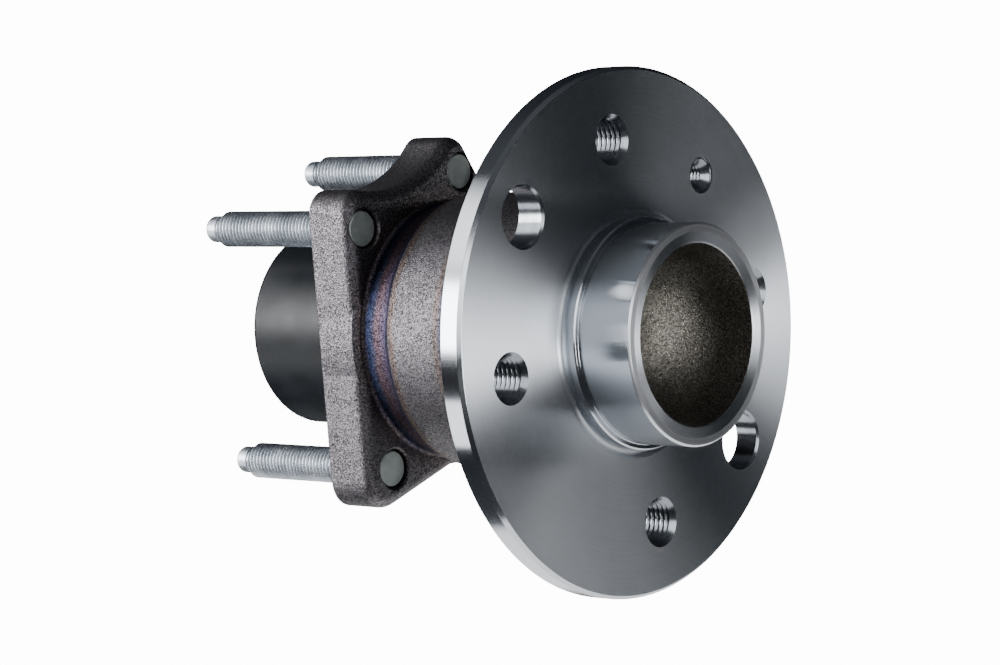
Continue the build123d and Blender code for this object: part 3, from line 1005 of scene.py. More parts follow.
@dataclass(frozen=True)
class WheelFlange:
    """The wheel flange, its pilot and the spindle, forged in one and finish-turned."""

    rows: BallRows
    radius: float = 68.0
    thickness: float = 7.0
    front_chamfer: float = 0.9
    back_chamfer: float = 1.0
    web_radius: float = 54.0
    root_radius: float = 36.0
    root_thickness: float = 9.2
    pilot_radius: float = 28.25
    pilot_length: float = 20.0
    pilot_chamfer: float = 0.5
    land_radius: float = 29.75
    land_length: float = 4.0
    land_chamfer: float = 0.4
    relief_width: float = 2.4
    relief_depth: float = 0.8
    bowl_mouth_radius: float = 26.0
    bowl_land_radius: float = 23.1
    bowl_lip_depth: float = 0.4
    bowl_depth: float = 23.0
    bowl_draft: float = 10.0
    bowl_corner: float = 17.0
    bolt_angle: float = -10.7
    bolt_circle_radius: float = 50.0
    bolt_radius: float = 6.0
    bolt_chamfer: float = 0.55
    bolt_pitch: float = 1.5
    bolt_thread_depth: float = 0.8
    access_angles: tuple[float, ...] = (135.0, 315.0)
    access_circle_radius: float = 53.3
    access_radius: float = 7.5
    access_chamfer: float = 0.55
    screw_angle: float = 45.0
    screw_circle_radius: float = 48.7
    screw_radius: float = 3.0
    screw_chamfer: float = 0.4
    screw_pitch: float = 1.0
    screw_thread_depth: float = 0.54
    screw_recess: tuple[float, float] = (4.8, 0.5)
    web_share_at_holes: float = 0.4
    boss_radius: float = 10.5
    boss_height: float = 5.0
    boss_draft: float = 8.0
    seal_land_radius: float = 24.5
    seal_land_end_y: float = 19.3
    seal_land_chamfer: float = 0.4
    seal_land_fillet: float = 3.0
    seat_radius: float = 15.25
    inner_ring_front_y: float = 38.6
    inner_ring_back_y: float = 63.8
    thread_radius: float = 14.0
    end_y: float = 80.4
    end_chamfer: float = 1.0
    centre_hole_radius: float = 3.0

    @property
    def floor_y(self) -> float:
        """Axial place of the bowl's floor."""
        return self.bowl_depth - self.pilot_length

    @property
    def land_y(self) -> float:
        """Axial place where the bowl's machined lip ends."""
        return self.bowl_lip_depth - self.pilot_length

    def bolt_places(self) -> list[Point]:
        """X and Z of the wheel bolt holes and of the bosses behind them."""
        return [polar(self.bolt_circle_radius, self.bolt_angle + 90 * turn) for turn in range(4)]

    @cached_property
    def cut_holes(self) -> list[Hole]:
        """Four wheel bolt holes, two access holes and the disc's locating screw hole.

        Returns:
            The holes, each at its own place.
        """
        web_rise = (self.root_thickness - self.thickness) * self.web_share_at_holes
        web_thickness = self.thickness + web_rise
        bolts = [
            Hole(
                place, self.bolt_radius, self.bolt_chamfer, self.thickness + self.boss_height,
                pitch=self.bolt_pitch, thread_depth=self.bolt_thread_depth,
            )
            for place in self.bolt_places()
        ]
        access = [
            Hole(
                polar(self.access_circle_radius, self.bolt_angle + angle), self.access_radius,
                self.access_chamfer, web_thickness,
            )
            for angle in self.access_angles
        ]
        screw = Hole(
            polar(self.screw_circle_radius, self.bolt_angle + self.screw_angle), self.screw_radius,
            self.screw_chamfer, web_thickness, pitch=self.screw_pitch,
            thread_depth=self.screw_thread_depth, recess=self.screw_recess,
        )
        return [*bolts, *access, screw]

    def relief(self) -> list[Corner]:
        """The rounded groove that the turning tool leaves at the root of the disc's land.

        Returns:
            The groove's corners, outwards from the land.
        """
        half = self.relief_width / 2
        radius = (half ** 2 + self.relief_depth ** 2) / (2 * self.relief_depth)
        lift = radius - self.relief_depth
        lean = math.degrees(math.atan2(lift, half))
        return arc((self.land_radius + half, -lift), radius, 180 - lean, lean, count=10)

    def profile(self) -> list[Corner]:
        """The turned profile, from the bowl's floor over the flange to the spindle's end.

        Returns:
            Radius, axial place and rounding of each corner.
        """
        wall = (self.floor_y - self.land_y) * math.tan(math.radians(self.bowl_draft))
        return [
            (0, self.floor_y, 0),
            (self.bowl_land_radius - wall, self.floor_y, self.bowl_corner),
            (self.bowl_land_radius, self.land_y, 0.5),
            (self.bowl_mouth_radius, -self.pilot_length, BREAK_EDGE),
            (self.pilot_radius - self.pilot_chamfer, -self.pilot_length, BREAK_EDGE),
            (self.pilot_radius, self.pilot_chamfer - self.pilot_length, BREAK_EDGE),
            (self.pilot_radius, -self.land_length, 0.2),
            (self.land_radius - self.land_chamfer, -self.land_length, BREAK_EDGE),
            (self.land_radius, self.land_chamfer - self.land_length, BREAK_EDGE),
            *self.relief(),
            (self.radius - self.front_chamfer, 0, BREAK_EDGE),
            (self.radius, self.front_chamfer, BREAK_EDGE),
            (self.radius, self.thickness - self.back_chamfer, BREAK_EDGE),
            (self.radius - self.back_chamfer, self.thickness, BREAK_EDGE),
            (self.web_radius, self.thickness, 3.0),
            (self.root_radius, self.root_thickness, 2.0),
            (self.seal_land_radius, self.root_thickness, self.seal_land_fillet),
            (self.seal_land_radius, self.seal_land_end_y - self.seal_land_chamfer, BREAK_EDGE),
            (self.seal_land_radius - self.seal_land_chamfer, self.seal_land_end_y, BREAK_EDGE),
            (self.rows.inner_shoulder_radius, self.seal_land_end_y, 0.2),
            *self.rows.groove(outward=False, inboard=False),
            (self.rows.land_radius, self.inner_ring_front_y, BREAK_EDGE),
            (self.seat_radius, self.inner_ring_front_y, 0.4),
            (self.seat_radius, self.inner_ring_back_y - self.end_chamfer, BREAK_EDGE),
            (self.thread_radius, self.inner_ring_back_y - self.end_chamfer, 0.2),
            (self.thread_radius, self.end_y - self.end_chamfer, BREAK_EDGE),
            (self.thread_radius - self.end_chamfer, self.end_y, BREAK_EDGE),
            (self.centre_hole_radius, self.end_y, BREAK_EDGE),
            (0, self.end_y - self.centre_hole_radius, 0),
        ]

    def mesh(self) -> Solid:
        """Turns the body, adds the bosses behind the bolt holes and cuts the holes.

        Returns:
            The whole forging as one solid.
        """
        body = turned(self.profile(), steps=240)
        buried = 1.0
        end_y = self.thickness + self.boss_height
        end_radius = self.boss_radius - self.boss_height * math.tan(math.radians(self.boss_draft))
        bosses = merged(
            placed(turned([
                (0, self.thickness - buried, 0), (self.boss_radius, self.thickness - buried, 0),
                (self.boss_radius, self.thickness, 0), (end_radius, end_y, 0.8), (0, end_y, 0),
            ], steps=72), *place)
            for place in self.bolt_places()
        )
        holes = merged(hole.cutter() for hole in self.cut_holes)
        return combine(combine(body, bosses, Join.UNION), holes, Join.CUT)

    def in_bowl(self, place: Vector) -> bool:
        """Whether a place on the surface is on the bowl's unmachined wall or floor."""
        return math.hypot(place.x, place.z) < self.bowl_land_radius and place.y < self.floor_y + 0.1

    def on_back(self, place: Vector) -> bool:
        """Whether a place is on the flange's unmachined back cone or a boss's drafted side.

        Args:
            place: The place on the surface.

        Returns:
            True where the blasted finish lies.
        """
        boss_end_y = self.thickness + self.boss_height
        if not self.thickness + 0.05 < place.y < boss_end_y - 0.05:
            return False
        if math.hypot(place.x, place.z) < self.seal_land_radius + self.seal_land_fillet:
            return False
        return all(hole.across(place) > hole.radius + hole.chamfer + 0.1 for hole in self.cut_holes)

    def on_side(self, place: Vector) -> bool:
        """Whether a place is on the flange's rim, the pilot's side or the disc's land.

        Args:
            place: The place on the surface.

        Returns:
            True where the finely turned finish lies.
        """
        across = math.hypot(place.x, place.z)
        at_rim = across > self.radius - self.back_chamfer - 0.1 and place.y < self.thickness
        beside_pilot = across > self.pilot_radius - self.pilot_chamfer
        return at_rim or (beside_pilot and 0.2 - self.pilot_length < place.y < -0.05)

    def in_hole(self, place: Vector) -> bool:
        """Whether a place is inside one of the flange's holes."""
        return place.y > 0 and any(hole.holds(place) for hole in self.cut_holes)

    def on_end(self, place: Vector) -> bool:
        """Whether a place is on the pilot's end face."""
        return math.hypot(place.x, place.z) > self.bowl_mouth_radius and place.y < 0.45 - self.pilot_length

    def dress(self) -> bpy.types.Object:
        """Builds the piece and gives it its finishes.

        Returns:
            The piece's object.
        """
        return piece(
            "turned_hub_spindle", self.mesh(), Body.HUB, TURNED_STEEL, ["hub_spindle"],
            zones=[
                (FORGED_BOWL, self.in_bowl), (FORGED_BACK, self.on_back), (FINE_TURNED, self.on_side),
                # The holes' walls take a darker steel: painted shade inside the holes.
                (FACED_END, self.on_end), (PAINTED_SHADE_HOLE_STEEL, self.in_hole),
            ],
        )


@dataclass(frozen=True)
class CarrierPlate:
    """The carrier's plate: four lugs joined by straight edges, with a dip across its top edge."""

    front_y: float = 64.0
    thickness: float = 14.5
    top_z: float = 47.3
    bottom_z: float = -35.0
    top_lug: tuple[float, float] = (19.4, 6.0)
    bottom_lug: tuple[float, float] = (36.3, 8.0)
    dip_z: float = 42.2
    dip_radius: float = 33.0
    dip_blend: float = 5.0
    front_rounding: float = 3.4
    back_rounding: float = 0.8
    bore_radius: float = 33.0

    @property
    def back_y(self) -> float:
        """Axial place of the mounting face."""
        return self.front_y + self.thickness

    def corners(self) -> list[Corner]:
        """The outline's corners, right half downwards and then mirrored back up.

        Returns:
            X, Z and rounding of each corner.
        """
        top = Vector((self.top_lug[0], self.top_z - self.top_lug[1]))
        bottom = Vector((self.bottom_lug[0], self.bottom_z + self.bottom_lug[1]))
        between = bottom - top
        lean = math.atan2(between.y, between.x) + math.acos(
            (self.top_lug[1] - self.bottom_lug[1]) / between.length
        )
        normal = Vector((math.cos(lean), math.sin(lean)))
        reach = normal.dot(top) + self.top_lug[1]
        dip_centre_z = self.dip_z + self.dip_radius
        half_width = math.sqrt(self.dip_radius ** 2 - (dip_centre_z - self.top_z) ** 2)
        half_dip = math.asin(half_width / self.dip_radius)
        steps = 12
        right = [
            (self.dip_radius * math.sin(half_dip * step / steps),
             dip_centre_z - self.dip_radius * math.cos(half_dip * step / steps),
             self.dip_blend if step == steps else 0.0)
            for step in range(1, steps + 1)
        ]
        right.append(((reach - normal.y * self.top_z) / normal.x, self.top_z, self.top_lug[1]))
        right.append(((reach - normal.y * self.bottom_z) / normal.x, self.bottom_z, self.bottom_lug[1]))
        left = [(-x, z, rounding) for x, z, rounding in reversed(right)]
        return [(0.0, self.dip_z, 0.0), *right, *left]

    def mesh(self) -> Solid:
        """Extrudes the outline, rounds both rims and opens the middle.

        Returns:
            The plate's solid, ready to unite with the ring.
        """
        shape = plate(self.corners(), self.front_y, self.back_y)
        soften(shape, rim(shape, self.front_y), self.front_rounding, segments=8)
        soften(shape, rim(shape, self.back_y), self.back_rounding, segments=4)
        reach = 5.0
        return combine(shape, rod(self.bore_radius, self.front_y - reach, self.back_y + reach), Join.CUT)


@dataclass(frozen=True)
class CarrierRing:
    """The outer ring of the bearing, forged in one with its plate."""

    rows: BallRows
    plate: CarrierPlate
    barrel_radius: float = 36.4
    front_y: float = 14.5
    front_chamfer: float = 1.0
    shoulder_y: float = 53.3
    neck_radius: float = 33.8
    neck_slope: float = 2.6
    neck_fillet: float = 2.2
    root_radius: float = 35.1
    root_sunk: float = 0.03
    spigot_radius: float = 33.75
    spigot_length: float = 2.0
    spigot_chamfer: float = 0.6
    cap_seat_extra: float = 0.5
    cap_seat_length: float = 7.5
    stud_hole_radius: float = 5.3
    stud_hole_chamfer: float = 0.5
    stud_places: tuple[Point, ...] = ()

    def profile(self) -> list[Corner]:
        """The closed profile: raceways, cap seat, spigot, neck and barrel.

        Returns:
            Radius, axial place and rounding of each corner.
        """
        bore = self.rows.bore_radius
        seat = bore + self.cap_seat_extra
        end_y = self.plate.back_y + self.spigot_length
        inside = 1.5
        root_y = self.plate.front_y + self.root_sunk
        return [
            *self.rows.groove(outward=True, inboard=False),
            *self.rows.groove(outward=True, inboard=True),
            (bore, end_y - self.cap_seat_length, BREAK_EDGE),
            (seat, end_y - self.cap_seat_length, BREAK_EDGE),
            (seat, end_y, 0.3),
            (self.spigot_radius - self.spigot_chamfer, end_y, BREAK_EDGE),
            (self.spigot_radius, end_y - self.spigot_chamfer, BREAK_EDGE),
            (self.spigot_radius, self.plate.back_y - inside / 2, 0),
            (self.root_radius + inside, self.plate.back_y - inside, 0),
            (self.root_radius + inside, self.plate.front_y + inside, 0),
            (self.root_radius, root_y, 0),
            (self.neck_radius, root_y, self.root_radius - self.neck_radius - 0.05),
            (self.neck_radius, self.shoulder_y + self.neck_slope, self.neck_fillet),
            (self.barrel_radius, self.shoulder_y, self.neck_fillet / 2),
            (self.barrel_radius, self.front_y + self.front_chamfer, 0.3),
            (self.barrel_radius - self.front_chamfer, self.front_y, 0.3),
            (bore, self.front_y, 0.3),
        ]

    def mesh(self) -> Solid:
        """Turns the ring, unites it with its plate and cuts the stud holes.

        Returns:
            The whole forging as one solid.
        """
        body = combine(turned(self.profile(), closed=True), self.plate.mesh(), Join.UNION)
        holes = merged(
            Hole(
                place, self.stud_hole_radius, self.stud_hole_chamfer, self.plate.thickness, self.plate.front_y
            ).cutter()
            for place in self.stud_places
        )
        return combine(body, holes, Join.CUT)

    def is_machined(self, place: Vector) -> bool:
        """Whether a place is on the mounting face, the spigot or the turned front end."""
        return place.y > self.plate.back_y - 0.05 or place.y < self.front_y + 0.9

    def is_ground(self, place: Vector) -> bool:
        """Whether a place is in the bore with its raceways."""
        return math.hypot(place.x, place.z) < self.rows.bore_radius + 0.7

    def dress(self) -> bpy.types.Object:
        """Builds the piece and gives it its finishes.

        Returns:
            The piece's object.
        """
        return piece(
            "forged_carrier", self.mesh(), Body.CARRIER, FORGED_STEEL, ["carrier_ring"],
            zones=[(TURNED_STEEL, self.is_machined), (GROUND_STEEL, self.is_ground)],
        )


@dataclass(frozen=True)
class CarrierStuds:
    """Four press-in studs: a shank in the plate, a rolled thread, a neck and a dog point."""

    plate: CarrierPlate
    circle_radius: float = 42.5
    angles: tuple[float, ...] = (61.2, 118.8, 217.04, -37.04)
    shank_radius: float = 5.28
    end_radius: float = 4.75
    end_length: float = 1.8
    end_depth: float = 1.0
    end_rounding: float = 0.5
    thread_radius: float = 4.85
    thread_root: float = 4.15
    pitch: float = 1.25
    length_behind: float = 42.2
    neck_length: float = 2.0
    neck_radius: float = 3.3
    dog_radius: float = 3.6
    dog_length: float = 4.0
    dog_rounding: float = 1.3

    def places(self) -> tuple[Point, ...]:
        """X and Z of each stud."""
        return tuple(polar(self.circle_radius, angle) for angle in self.angles)

    def one(self, place: Point) -> Solid:
        """Builds one stud.

        Args:
            place: Its X and Z.

        Returns:
            Its head, thread and point, end to end.
        """
        head_y = self.plate.front_y + self.end_depth
        step_y = head_y + self.end_length
        tip_y = self.plate.back_y + self.length_behind
        dog_y = tip_y - self.dog_length
        thread_end_y = dog_y - self.neck_length
        head = turned([
            (0, head_y, 0), (self.end_radius, head_y, self.end_rounding),
            (self.end_radius, step_y, 0.1),
            (self.shank_radius, step_y + self.shank_radius - self.end_radius, 0.1),
            (self.shank_radius, self.plate.back_y, 0), (0, self.plate.back_y, 0),
        ], steps=72)
        rod = thread(self.thread_radius, self.thread_root, self.pitch, self.plate.back_y, thread_end_y)
        point = turned([
            (0, thread_end_y, 0), (self.thread_root, thread_end_y, 0),
            (self.neck_radius, dog_y - self.neck_length / 2, 0.3), (self.neck_radius, dog_y, 0.2),
            (self.dog_radius, dog_y, 0.15), (self.dog_radius, tip_y, self.dog_rounding), (0, tip_y, 0),
        ], steps=72)
        return placed(merged([head, rod, point]), *place)

    def dress(self) -> bpy.types.Object:
        """Builds the four studs as one piece and gives them their plating.

        Returns:
            The piece's object.
        """
        return piece(
            "threaded_studs", merged(self.one(place) for place in self.places()), Body.CARRIER,
            ZINC_PLATE, ["carrier_studs"], sharp_angle=28.0,
            zones=[(SHEARED_END, self.is_head)],
        )

    def is_head(self, place: Vector) -> bool:
        """Whether a place is on a stud's end in front of the plate's holes."""
        return place.y < self.plate.front_y + self.end_depth + self.end_rounding + 0.05


@dataclass(frozen=True)
class RearCap:
    """The pressed steel cap behind the inner ring, which also holds the speed sensor."""

    ring_end_y: float = 80.5
    seat_radius: float = 31.18
    seat_length: float = 7.5
    radius: float = 26.9
    wall: float = 1.0
    end_y: float = 112.9
    end_rounding: float = 2.4
    connector_half: tuple[float, float, float] = (10.1, 6.6, 3.1)

    def mesh(self) -> Solid:
        """Turns the shell and cuts the connector's opening.

        Returns:
            The cap's shell.
        """
        rim_y = self.ring_end_y - self.seat_length
        shell = turned([
            (0.0, self.end_y - self.wall, 0),
            (self.radius - self.wall, self.end_y - self.wall, self.end_rounding - self.wall),
            (self.radius - self.wall, self.ring_end_y - self.wall, 0.4),
            (self.seat_radius - self.wall, self.ring_end_y - self.wall, 0.3),
            (self.seat_radius - self.wall, rim_y, 0.2), (self.seat_radius, rim_y, 0.2),
            (self.seat_radius, self.ring_end_y, 0.5), (self.radius, self.ring_end_y, 0.15),
            (self.radius, self.end_y, self.end_rounding), (0.0, self.end_y, 0),
        ])
        opening = plate(
            rectangle(*self.connector_half), self.end_y - 2 * self.wall, self.end_y + self.wall
        )
        return combine(shell, opening, Join.CUT)

    def dress(self) -> bpy.types.Object:
        """Builds the cap and gives it its black coating.

        Returns:
            The piece's object.
        """
        return piece(
            "coated_rear_cap", self.mesh(), Body.CARRIER, BLACK_COATING, ["rear_cap"]
        )


@dataclass(frozen=True)
class SensorConnector:
    """The sensor's moulded housing, a plug in the cap and a socket outside it, with two blades."""

    cap: RearCap
    plug_radius: float = 25.9
    plug_length: float = 7.4
    plug_chamfer: float = 2.4
    groove_setback: float = 3.1
    groove_width: float = 2.4
    groove_depth: float = 1.9
    ring_section: float = 0.93
    half_width: float = 10.0
    half_height: float = 6.5
    corner: float = 3.0
    length: float = 10.6
    wall: float = 1.7
    floor: float = 1.6
    latch: tuple[float, float, float] = (3.0, 1.4, 3.0)
    blade_x: float = 3.0
    blade_half: tuple[float, float] = (1.4, 0.4)
    blade_recess: float = 1.6
    blade_root: float = 4.0

    @property
    def inner_y(self) -> float:
        """Axial place of the plug's seat against the cap's inside."""
        return self.cap.end_y - self.cap.wall

    @property
    def end_y(self) -> float:
        """Axial place of the socket's mouth."""
        return self.cap.end_y + self.length

    @property
    def groove_y(self) -> float:
        """Axial place of the middle of the O-ring's groove."""
        return self.inner_y - self.plug_length + self.groove_setback

    def housing(self) -> Solid:
        """Builds the plug with its groove, the socket, its latch and the slots for the blades.

        Returns:
            The moulding as one solid.
        """
        front_y, half = self.inner_y - self.plug_length, self.groove_width / 2
        plug = turned([
            (0, front_y, 0), (self.plug_radius, front_y, 0.2),
            (self.plug_radius, self.groove_y - half, 0.1),
            (self.plug_radius - self.groove_depth, self.groove_y - half, 0.2),
            (self.plug_radius - self.groove_depth, self.groove_y + half, 0.2),
            (self.plug_radius, self.groove_y + half, 0.1),
            (self.plug_radius, self.inner_y - self.plug_chamfer, 0.3),
            (self.plug_radius - self.plug_chamfer, self.inner_y, 0.3), (0, self.inner_y, 0),
        ])
        socket = plate(
            rectangle(self.half_width, self.half_height, self.corner), self.inner_y - 1.0, self.end_y
        )
        soften(socket, rim(socket, self.end_y), 0.3, segments=3)
        body = combine(plug, socket, Join.UNION)
        body = combine(body, self.latch_wedge(), Join.UNION)
        hollow = plate(
            rectangle(self.half_width - self.wall, self.half_height - self.wall, self.corner - self.wall),
            self.cap.end_y + self.floor, self.end_y + 1.0,
        )
        body = combine(body, hollow, Join.CUT)
        slots = merged(self.blade(side, self.cap.end_y + self.floor + 0.5) for side in (-1, 1))
        return combine(body, slots, Join.CUT)

    def latch_wedge(self) -> Solid:
        """The ramp on top of the socket that a plug's clip snaps behind.

        Returns:
            The ramp's solid, sunk a little in the socket.
        """
        half_width, height, length = self.latch
        sink = 0.5
        shape = block(
            (2 * half_width, length, height + sink),
            (0, self.end_y - length / 2, self.half_height - sink + (height + sink) / 2),
        )
        for vertex in shape.verts:
            if vertex.co.y > self.end_y - length / 2 and vertex.co.z > self.half_height:
                vertex.co.z = self.half_height + 0.05
        upper = [edge for edge in shape.edges if min(v.co.z for v in edge.verts) > self.half_height]
        soften(shape, upper, 0.2, segments=3)
        return sealed(shape)

    def blade(self, side: int, end_y: float) -> Solid:
        """One flat blade, or the slot for it.

        Args:
            side: -1 or +1 along X.
            end_y: Axial place of its free end.

        Returns:
            The blade's solid.
        """
        half_x, half_z = self.blade_half
        start_y = self.cap.end_y - self.blade_root
        return block(
            (2 * half_x, end_y - start_y, 2 * half_z), (side * self.blade_x, (start_y + end_y) / 2, 0)
        )

    def blades(self) -> Solid:
        """Both blades, with bevelled tips.

        Returns:
            The two blades in one mesh.
        """
        tip_y = self.end_y - self.blade_recess
        both = []
        for side in (-1, 1):
            shape = self.blade(side, tip_y)
            soften(shape, rim(shape, tip_y), 0.25, segments=2)
            both.append(shape)
        return merged(both)

    def ring(self) -> Solid:
        """The O-ring, seated in its groove."""
        centre = (self.plug_radius - self.groove_depth / 2, self.groove_y)
        return turned(arc(centre, self.ring_section, 0.0, 337.5, 16), closed=True)

    def dress(self) -> list[bpy.types.Object]:
        """Builds the housing, its blades and its O-ring.

        Returns:
            The three pieces' objects.
        """
        return [
            piece("moulded_connector", self.housing(), Body.CARRIER, NYLON_BLACK,
                  ["sensor_housing"]),
            piece("tinned_blades", self.blades(), Body.CARRIER, TINNED_BRASS,
                  ["connector_terminals"]),
            piece("o_ring", self.ring(), Body.CARRIER, SEAL_RUBBER, ["sensor_o_ring"]),
        ]


@dataclass(frozen=True)
class OutboardSeal:
    """The cassette seal at the wheel side: a pressed steel core with bonded rubber lips."""

    rows: BallRows
    ring_front_y: float = 14.5
    setback: float = 0.4
    length: float = 4.2
    wall: float = 0.8
    core_radius: float = 26.5
    land_radius: float = 24.5
    land_gap: float = 0.1
    flange_y: float = 9.2
    lip: float = 0.9
    flare_radius: float = 28.8

    def core(self) -> Solid:
        """The steel core, an angle ring pressed in the bore.

        Returns:
            The core's solid.
        """
        bore, front_y = self.rows.bore_radius, self.ring_front_y + self.setback
        back_y = front_y + self.length
        return turned([
            (bore, front_y, 0.1), (bore, back_y, 0.5), (self.core_radius, back_y, 0.1),
            (self.core_radius, back_y - self.wall, 0.1), (bore - self.wall, back_y - self.wall, 0.3),
            (bore - self.wall, front_y, 0.1),
        ], closed=True)

    def lips(self) -> Solid:
        """The rubber, with one lip that faces the flange and two that run on the spindle.

        Returns:
            The rubber's solid.
        """
        bore = self.rows.bore_radius
        back_y = self.ring_front_y + self.setback + self.length
        seat_y = back_y - self.wall
        tip, face_y = self.land_radius + self.land_gap, self.flange_y + self.land_gap
        return turned([
            (bore - self.wall, seat_y, 0), (bore - self.wall, seat_y - self.lip, BREAK_EDGE),
            (self.core_radius + 2 * self.lip, seat_y - self.lip, 0.3),
            (self.flare_radius + self.lip, face_y, BREAK_EDGE), (self.flare_radius, face_y, BREAK_EDGE),
            (self.core_radius, seat_y - 2 * self.lip, 0.3),
            (tip, seat_y - 4 * self.lip, BREAK_EDGE), (tip, seat_y - 3 * self.lip, BREAK_EDGE),
            (self.core_radius - self.lip, seat_y - self.lip, 0.2),
            (tip, seat_y, BREAK_EDGE), (tip, back_y, BREAK_EDGE), (self.core_radius, back_y, 0),
            (self.core_radius, seat_y, 0),
        ], closed=True)

    def dress(self) -> list[bpy.types.Object]:
        """Builds the core and the lips.

        Returns:
            The two pieces' objects.
        """
        return [
            piece("pressed_seal_core", self.core(), Body.CARRIER, PRESSED_STEEL, ["seal_core"]),
            piece("rubber_seal_lips", self.lips(), Body.CARRIER, SEAL_RUBBER, ["seal_lips"]),
        ]


@dataclass(frozen=True)
class InnerRing:
    """The separate inner ring of the inboard row, with the nut that clamps it."""

    rows: BallRows
    front_y: float = 38.6
    back_y: float = 63.8
    bore_radius: float = 15.25
    bore_chamfer: float = 0.8
    nut_flats: float = 36.0
    nut_height: float = 14.0
    nut_chamfer: float = 1.6
    nut_bore: float = 14.0
    collar_height: float = 1.8
    collar_wall: float = 1.4

    def ring(self) -> Solid:
        """The ground ring with its raceway.

        Returns:
            The ring's solid.
        """
        return turned([
            (self.bore_radius, self.front_y + self.bore_chamfer, 0.1),
            (self.bore_radius + self.bore_chamfer, self.front_y, 0.1),
            (self.rows.land_radius, self.front_y, 0.2),
            *self.rows.groove(outward=False, inboard=True),
            (self.rows.inner_shoulder_radius, self.back_y, 0.4),
            (self.bore_radius, self.back_y, 0.4),
        ], closed=True)

    def nut(self) -> Solid:
        """A hexagon with turned chamfers at both ends and a staking collar.

        Returns:
            The nut's solid.
        """
        corner = self.nut_flats / 2 / math.cos(math.radians(30))
        end_y = self.back_y + self.nut_height
        hexagon = plate(
            [(*polar(corner, 60 * side), 0.6) for side in range(6)], self.back_y, end_y
        )
        blank = turned([
            (0, self.back_y, 0), (corner - self.nut_chamfer, self.back_y, 0),
            (corner, self.back_y + self.nut_chamfer, 0), (corner, end_y - self.nut_chamfer, 0),
            (corner - self.nut_chamfer, end_y, 0), (0, end_y, 0),
        ])
        body = combine(hexagon, blank, Join.COMMON)
        sink = 1.0
        collar = turned([
            (0, end_y - sink, 0), (self.nut_bore + self.collar_wall, end_y - sink, 0),
            (self.nut_bore + self.collar_wall, end_y + self.collar_height, 0.3),
            (0, end_y + self.collar_height, 0),
        ])
        body = combine(body, collar, Join.UNION)
        reach = 2.0
        bore = rod(self.nut_bore, self.back_y - reach, end_y + self.collar_height + reach)
        return combine(body, bore, Join.CUT)

    def dress(self) -> list[bpy.types.Object]:
        """Builds the ring and the nut.

        Returns:
            The two pieces' objects.
        """
        return [
            piece("ground_inner_ring", self.ring(), Body.HUB, GROUND_STEEL, ["inner_ring"]),
            piece("clamping_nut", self.nut(), Body.HUB, ZINC_PLATE, ["spindle_nut"]),
        ]


@dataclass(frozen=True)
class CagedRow:
    """One row of balls in its crown cage."""

    rows: BallRows
    inboard: bool
    side_gap: float = 0.4
    pocket_gap: float = 0.15
    back_wall: float = 2.3
    prong_reach: float = 2.2

    @property
    def name(self) -> str:
        """The row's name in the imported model."""
        return "inboard" if self.inboard else "outboard"

    @property
    def body(self) -> Body:
        """The body that the row turns with."""
        return Body.INBOARD_CAGE if self.inboard else Body.OUTBOARD_CAGE

    @property
    def row_y(self) -> float:
        """Axial place of the balls' centres."""
        return self.rows.outboard_y + (self.rows.spacing if self.inboard else 0.0)

    def cage(self) -> Solid:
        """The cage's ring, with a round pocket for each ball.

        Returns:
            The cage's solid.
        """
        outward = 1 if self.inboard else -1
        back_y = self.row_y + outward * (self.rows.ball_radius + self.pocket_gap + self.back_wall)
        front_y = self.row_y - outward * self.prong_reach
        inner = self.rows.inner_shoulder_radius + self.side_gap
        outer = self.rows.outer_shoulder_radius - self.side_gap
        ring = turned(
            [(inner, back_y, 0.3), (outer, back_y, 0.3), (outer, front_y, 0.2), (inner, front_y, 0.2)],
            closed=True,
        )
        pockets = merged(
            self.sphere(index, self.rows.ball_radius + self.pocket_gap)
            for index in range(self.rows.ball_count)
        )
        return combine(ring, pockets, Join.CUT)

    def sphere(self, index: int, radius: float) -> Solid:
        """A sphere at one ball's place.

        Args:
            index: Which ball, counted from +X towards +Z.
            radius: The sphere's radius.

        Returns:
            The sphere's solid.
        """
        x, z = polar(self.rows.pitch_radius, index * 360 / self.rows.ball_count)
        shape = bmesh.new()
        bmesh.ops.create_uvsphere(shape, u_segments=40, v_segments=24, radius=radius)
        bmesh.ops.translate(shape, verts=shape.verts[:], vec=(x, self.row_y, z))
        return shape

    def dress(self) -> list[bpy.types.Object]:
        """Builds the cage and its balls.

        Returns:
            The objects of the cage and of each ball.
        """
        made = [
            piece(f"moulded_cage_{self.name}", self.cage(), self.body, CAGE_NYLON,
                  [f"cage_{self.name}"])
        ]
        for index in range(self.rows.ball_count):
            made.append(piece(
                f"steel_ball_{self.name}_{index + 1:02d}", self.sphere(index, self.rows.ball_radius),
                self.body, BALL_STEEL, [f"ball_{self.name}_{index + 1:02d}"],
            ))
        return made


